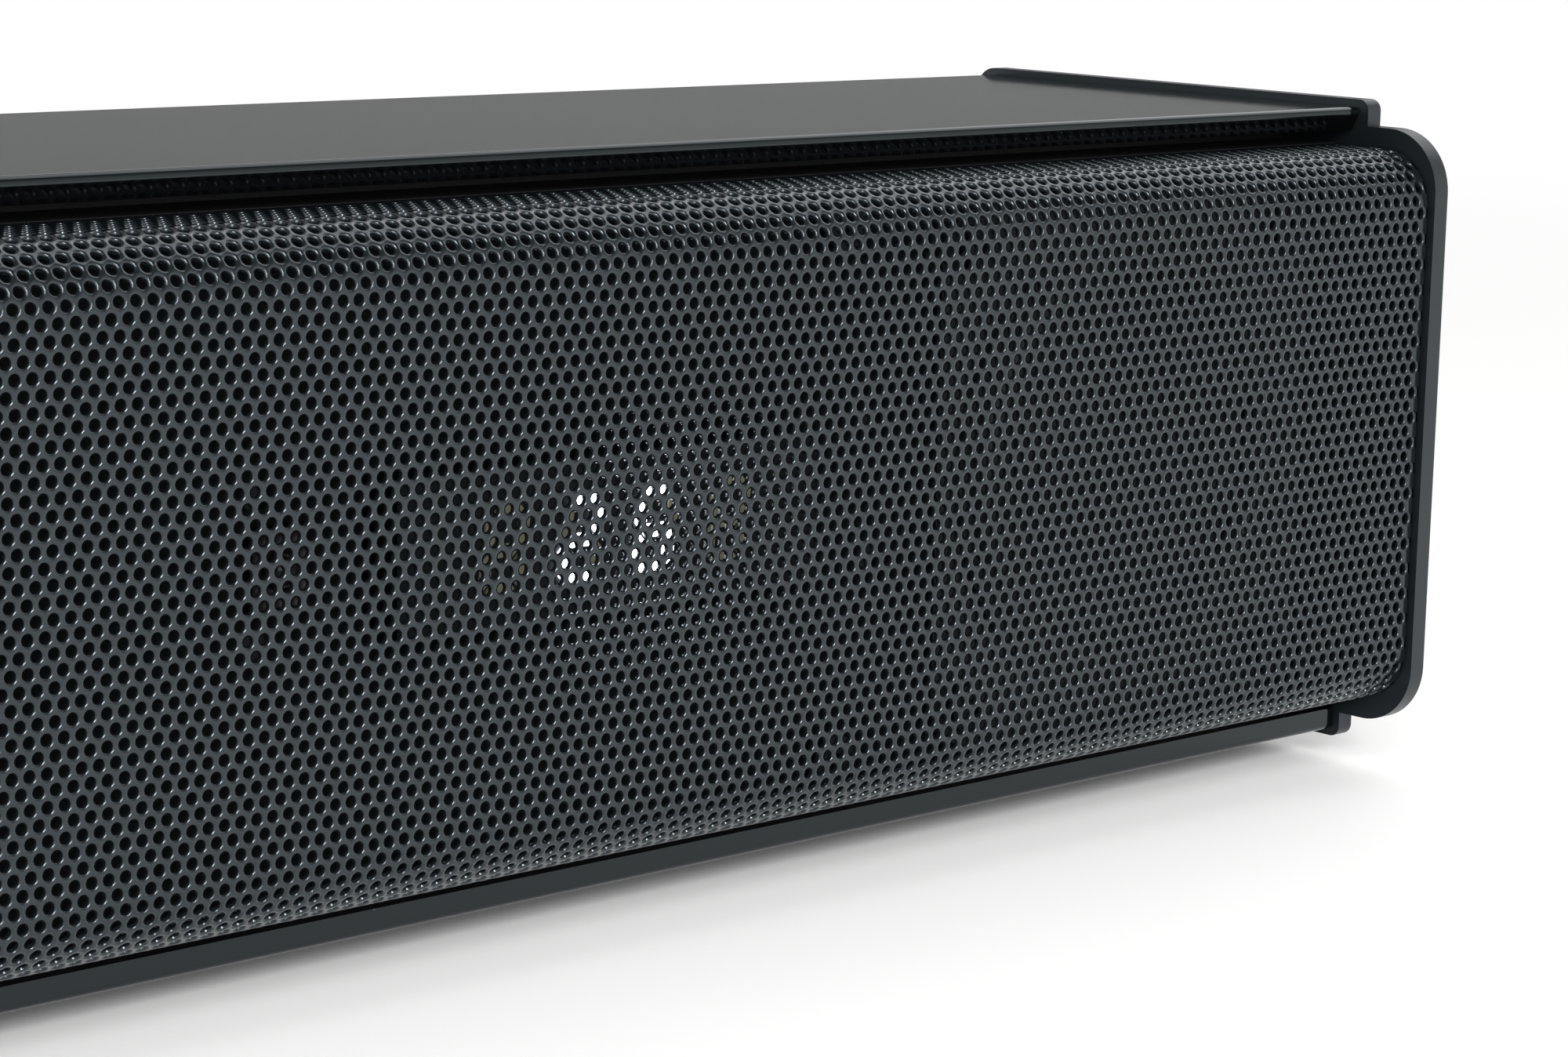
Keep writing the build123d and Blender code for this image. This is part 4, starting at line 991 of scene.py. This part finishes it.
class SOUNDBAR_OT_stage(bpy.types.Operator):
    """Sets the table, the tent, the softboxes and the camera"""

    bl_idname = "soundbar.stage"
    bl_label = "Stage"

    def execute(self, context):
        scene = context.scene
        settings = scene.soundbar_stage
        scene.view_settings.view_transform = "Standard"
        self.set_floor(scene)
        self.set_tent(scene, settings)
        self.add_card(scene)
        self.add_softbox(
            scene, "front_softbox", settings.front_place, settings.front_width, settings.front_lamp
        )
        self.add_softbox(
            scene, "front_softbox_core", settings.core_place, settings.core_width, settings.core_lamp
        )
        self.add_softbox(scene, "side_softbox", settings.side_place, settings.side_width, settings.side_lamp)
        camera = bpy.data.objects.new("camera", bpy.data.cameras.new("camera"))
        scene.collection.objects.link(camera)
        sight = Vector(settings.aim) - Vector(settings.place)
        camera.location = settings.place
        camera.rotation_mode = "QUATERNION"
        camera.rotation_quaternion = sight.to_track_quat("-Z", "Y") @ Quaternion((0, 0, 1), settings.roll)
        camera.data.sensor_width = SENSOR
        camera.data.lens = settings.lens
        camera.data.clip_start = 0.01
        scene.camera = camera
        return {"FINISHED"}

    def set_floor(self, scene):
        """White paper that takes the bar's shadow and fades to plain white far from it."""
        # Matt paper: an even white with no gloss
        paper = {"Base Color": linear("#fcfcfb"), "Roughness": 0.9}
        material, tree, shader = new_surface("matt_white_paper", **paper)
        place = add_node(tree, "ShaderNodeTexCoord").outputs["Object"]
        apart = add_node(tree, "ShaderNodeVectorMath", {0: place}, operation="LENGTH").outputs["Value"]
        far = add_node(
            tree,
            "ShaderNodeMapRange",
            {"Value": apart, "From Min": FADE_START, "From Max": FADE_END},
            interpolation_type="SMOOTHSTEP",
        )
        path = add_node(tree, "ShaderNodeLightPath").outputs
        seen = path["Is Camera Ray"]
        for other in ("Is Glossy Ray", "Is Transmission Ray"):
            either = add_node(tree, "ShaderNodeMath", {0: seen, 1: path[other]}, operation="MAXIMUM")
            seen = either.outputs[0]
        plain = add_node(tree, "ShaderNodeMath", {0: far.outputs["Result"], 1: seen}, operation="MULTIPLY")
        white = add_node(tree, "ShaderNodeEmission", {"Color": WHITE, "Strength": 1.0})
        surfaces = {1: shader.outputs[0], 2: white.outputs[0]}
        mix = add_node(tree, "ShaderNodeMixShader", {0: plain.outputs[0], **surfaces})
        output = next(n for n in tree.nodes if n.type == "OUTPUT_MATERIAL")
        tree.links.new(mix.outputs[0], output.inputs["Surface"])
        mesh = bpy.data.meshes.new("paper_floor")
        corners = [(-FLOOR, -FLOOR, 0), (FLOOR, -FLOOR, 0), (FLOOR, FLOOR, 0), (-FLOOR, FLOOR, 0)]
        mesh.from_pydata(corners, [], [(0, 1, 2, 3)])
        mesh.materials.append(material)
        floor_object = bpy.data.objects.new("paper_floor", mesh)
        scene.collection.objects.link(floor_object)

    def set_tent(self, scene, settings):
        """Soft light from all sides, strongest near the table."""
        world = bpy.data.worlds.new("tent")
        scene.world = world
        world.use_nodes = True
        tree = world.node_tree
        tree.nodes.clear()
        place = add_node(tree, "ShaderNodeTexCoord").outputs["Generated"]
        height = add_node(tree, "ShaderNodeSeparateXYZ", {"Vector": place}).outputs["Z"]
        level = add_node(
            tree,
            "ShaderNodeMapRange",
            {
                "Value": height,
                "From Min": HORIZON_END,
                "From Max": WORLD_START,
                "To Min": settings.horizon,
                "To Max": settings.world,
            },
        )
        soft = add_node(tree, "ShaderNodeBackground", {"Color": WHITE, "Strength": level.outputs["Result"]})
        add_node(tree, "ShaderNodeOutputWorld", {"Surface": soft.outputs[0]})

    def add_card(self, scene):
        """A grey card behind the bar, out of the picture, which the top panel mirrors."""
        # Matt board: an even mid grey
        material = new_surface("grey_board", **{"Base Color": linear("#737574"), "Roughness": 0.9})[0]
        mesh = bpy.data.meshes.new("grey_card")
        points = [(x, y, z) for x, y in CARD_FOLDS for z in CARD_EDGES]
        mesh.from_pydata(points, [], [(0, 1, 3, 2), (2, 3, 5, 4)])
        mesh.materials.append(material)
        card = bpy.data.objects.new("grey_card", mesh)
        card.visible_camera = False
        scene.collection.objects.link(card)

    def add_softbox(self, scene, name, place, width, power):
        """A square lamp that faces the bar and stays out of the picture."""
        light = bpy.data.lights.new(name, "AREA")
        light.shape = "SQUARE"
        light.size = width
        light.energy = power
        lamp = bpy.data.objects.new(name, light)
        lamp.location = place
        lamp.rotation_mode = "QUATERNION"
        lamp.rotation_quaternion = (LAMP_AIM - lamp.location).to_track_quat("-Z", "Y")
        lamp.visible_camera = False
        scene.collection.objects.link(lamp)


# Add-on

GROUPS = {
    "soundbar_grille": SOUNDBAR_PG_grille,
    "soundbar_surround": SOUNDBAR_PG_surround,
    "soundbar_colours": SOUNDBAR_PG_colours,
    "soundbar_stage": SOUNDBAR_PG_stage,
}
STEPS = (
    SOUNDBAR_OT_grille,
    SOUNDBAR_OT_enclosure,
    SOUNDBAR_OT_drivers,
    SOUNDBAR_OT_display,
    SOUNDBAR_OT_boards,
    SOUNDBAR_OT_buttons,
    SOUNDBAR_OT_screws,
    SOUNDBAR_OT_stage,
)


class SOUNDBAR_PT_build(bpy.types.Panel):
    """Lists the steps that build the soundbar's looks"""

    bl_idname = "SOUNDBAR_PT_build"
    bl_label = "Soundbar"
    bl_space_type = "VIEW_3D"
    bl_region_type = "UI"
    bl_category = "Soundbar"

    def draw(self, context):
        for group in GROUPS:
            column = self.layout.column()
            for name in GROUPS[group].__annotations__:
                column.prop(getattr(context.scene, group), name)
        for step in STEPS:
            self.layout.operator(step.bl_idname)


def register():
    for group in GROUPS.values():
        bpy.utils.register_class(group)
    for name, group in GROUPS.items():
        setattr(bpy.types.Scene, name, bpy.props.PointerProperty(type=group))
    for cls in (*STEPS, SOUNDBAR_PT_build):
        bpy.utils.register_class(cls)


def unregister():
    for cls in (SOUNDBAR_PT_build, *reversed(STEPS)):
        bpy.utils.unregister_class(cls)
    for name, group in GROUPS.items():
        delattr(bpy.types.Scene, name)
        bpy.utils.unregister_class(group)


def main():
    register()
    for step in STEPS:
        getattr(bpy.ops.soundbar, step.bl_idname.split(".")[1])()


if __name__ == "__main__":
    main()
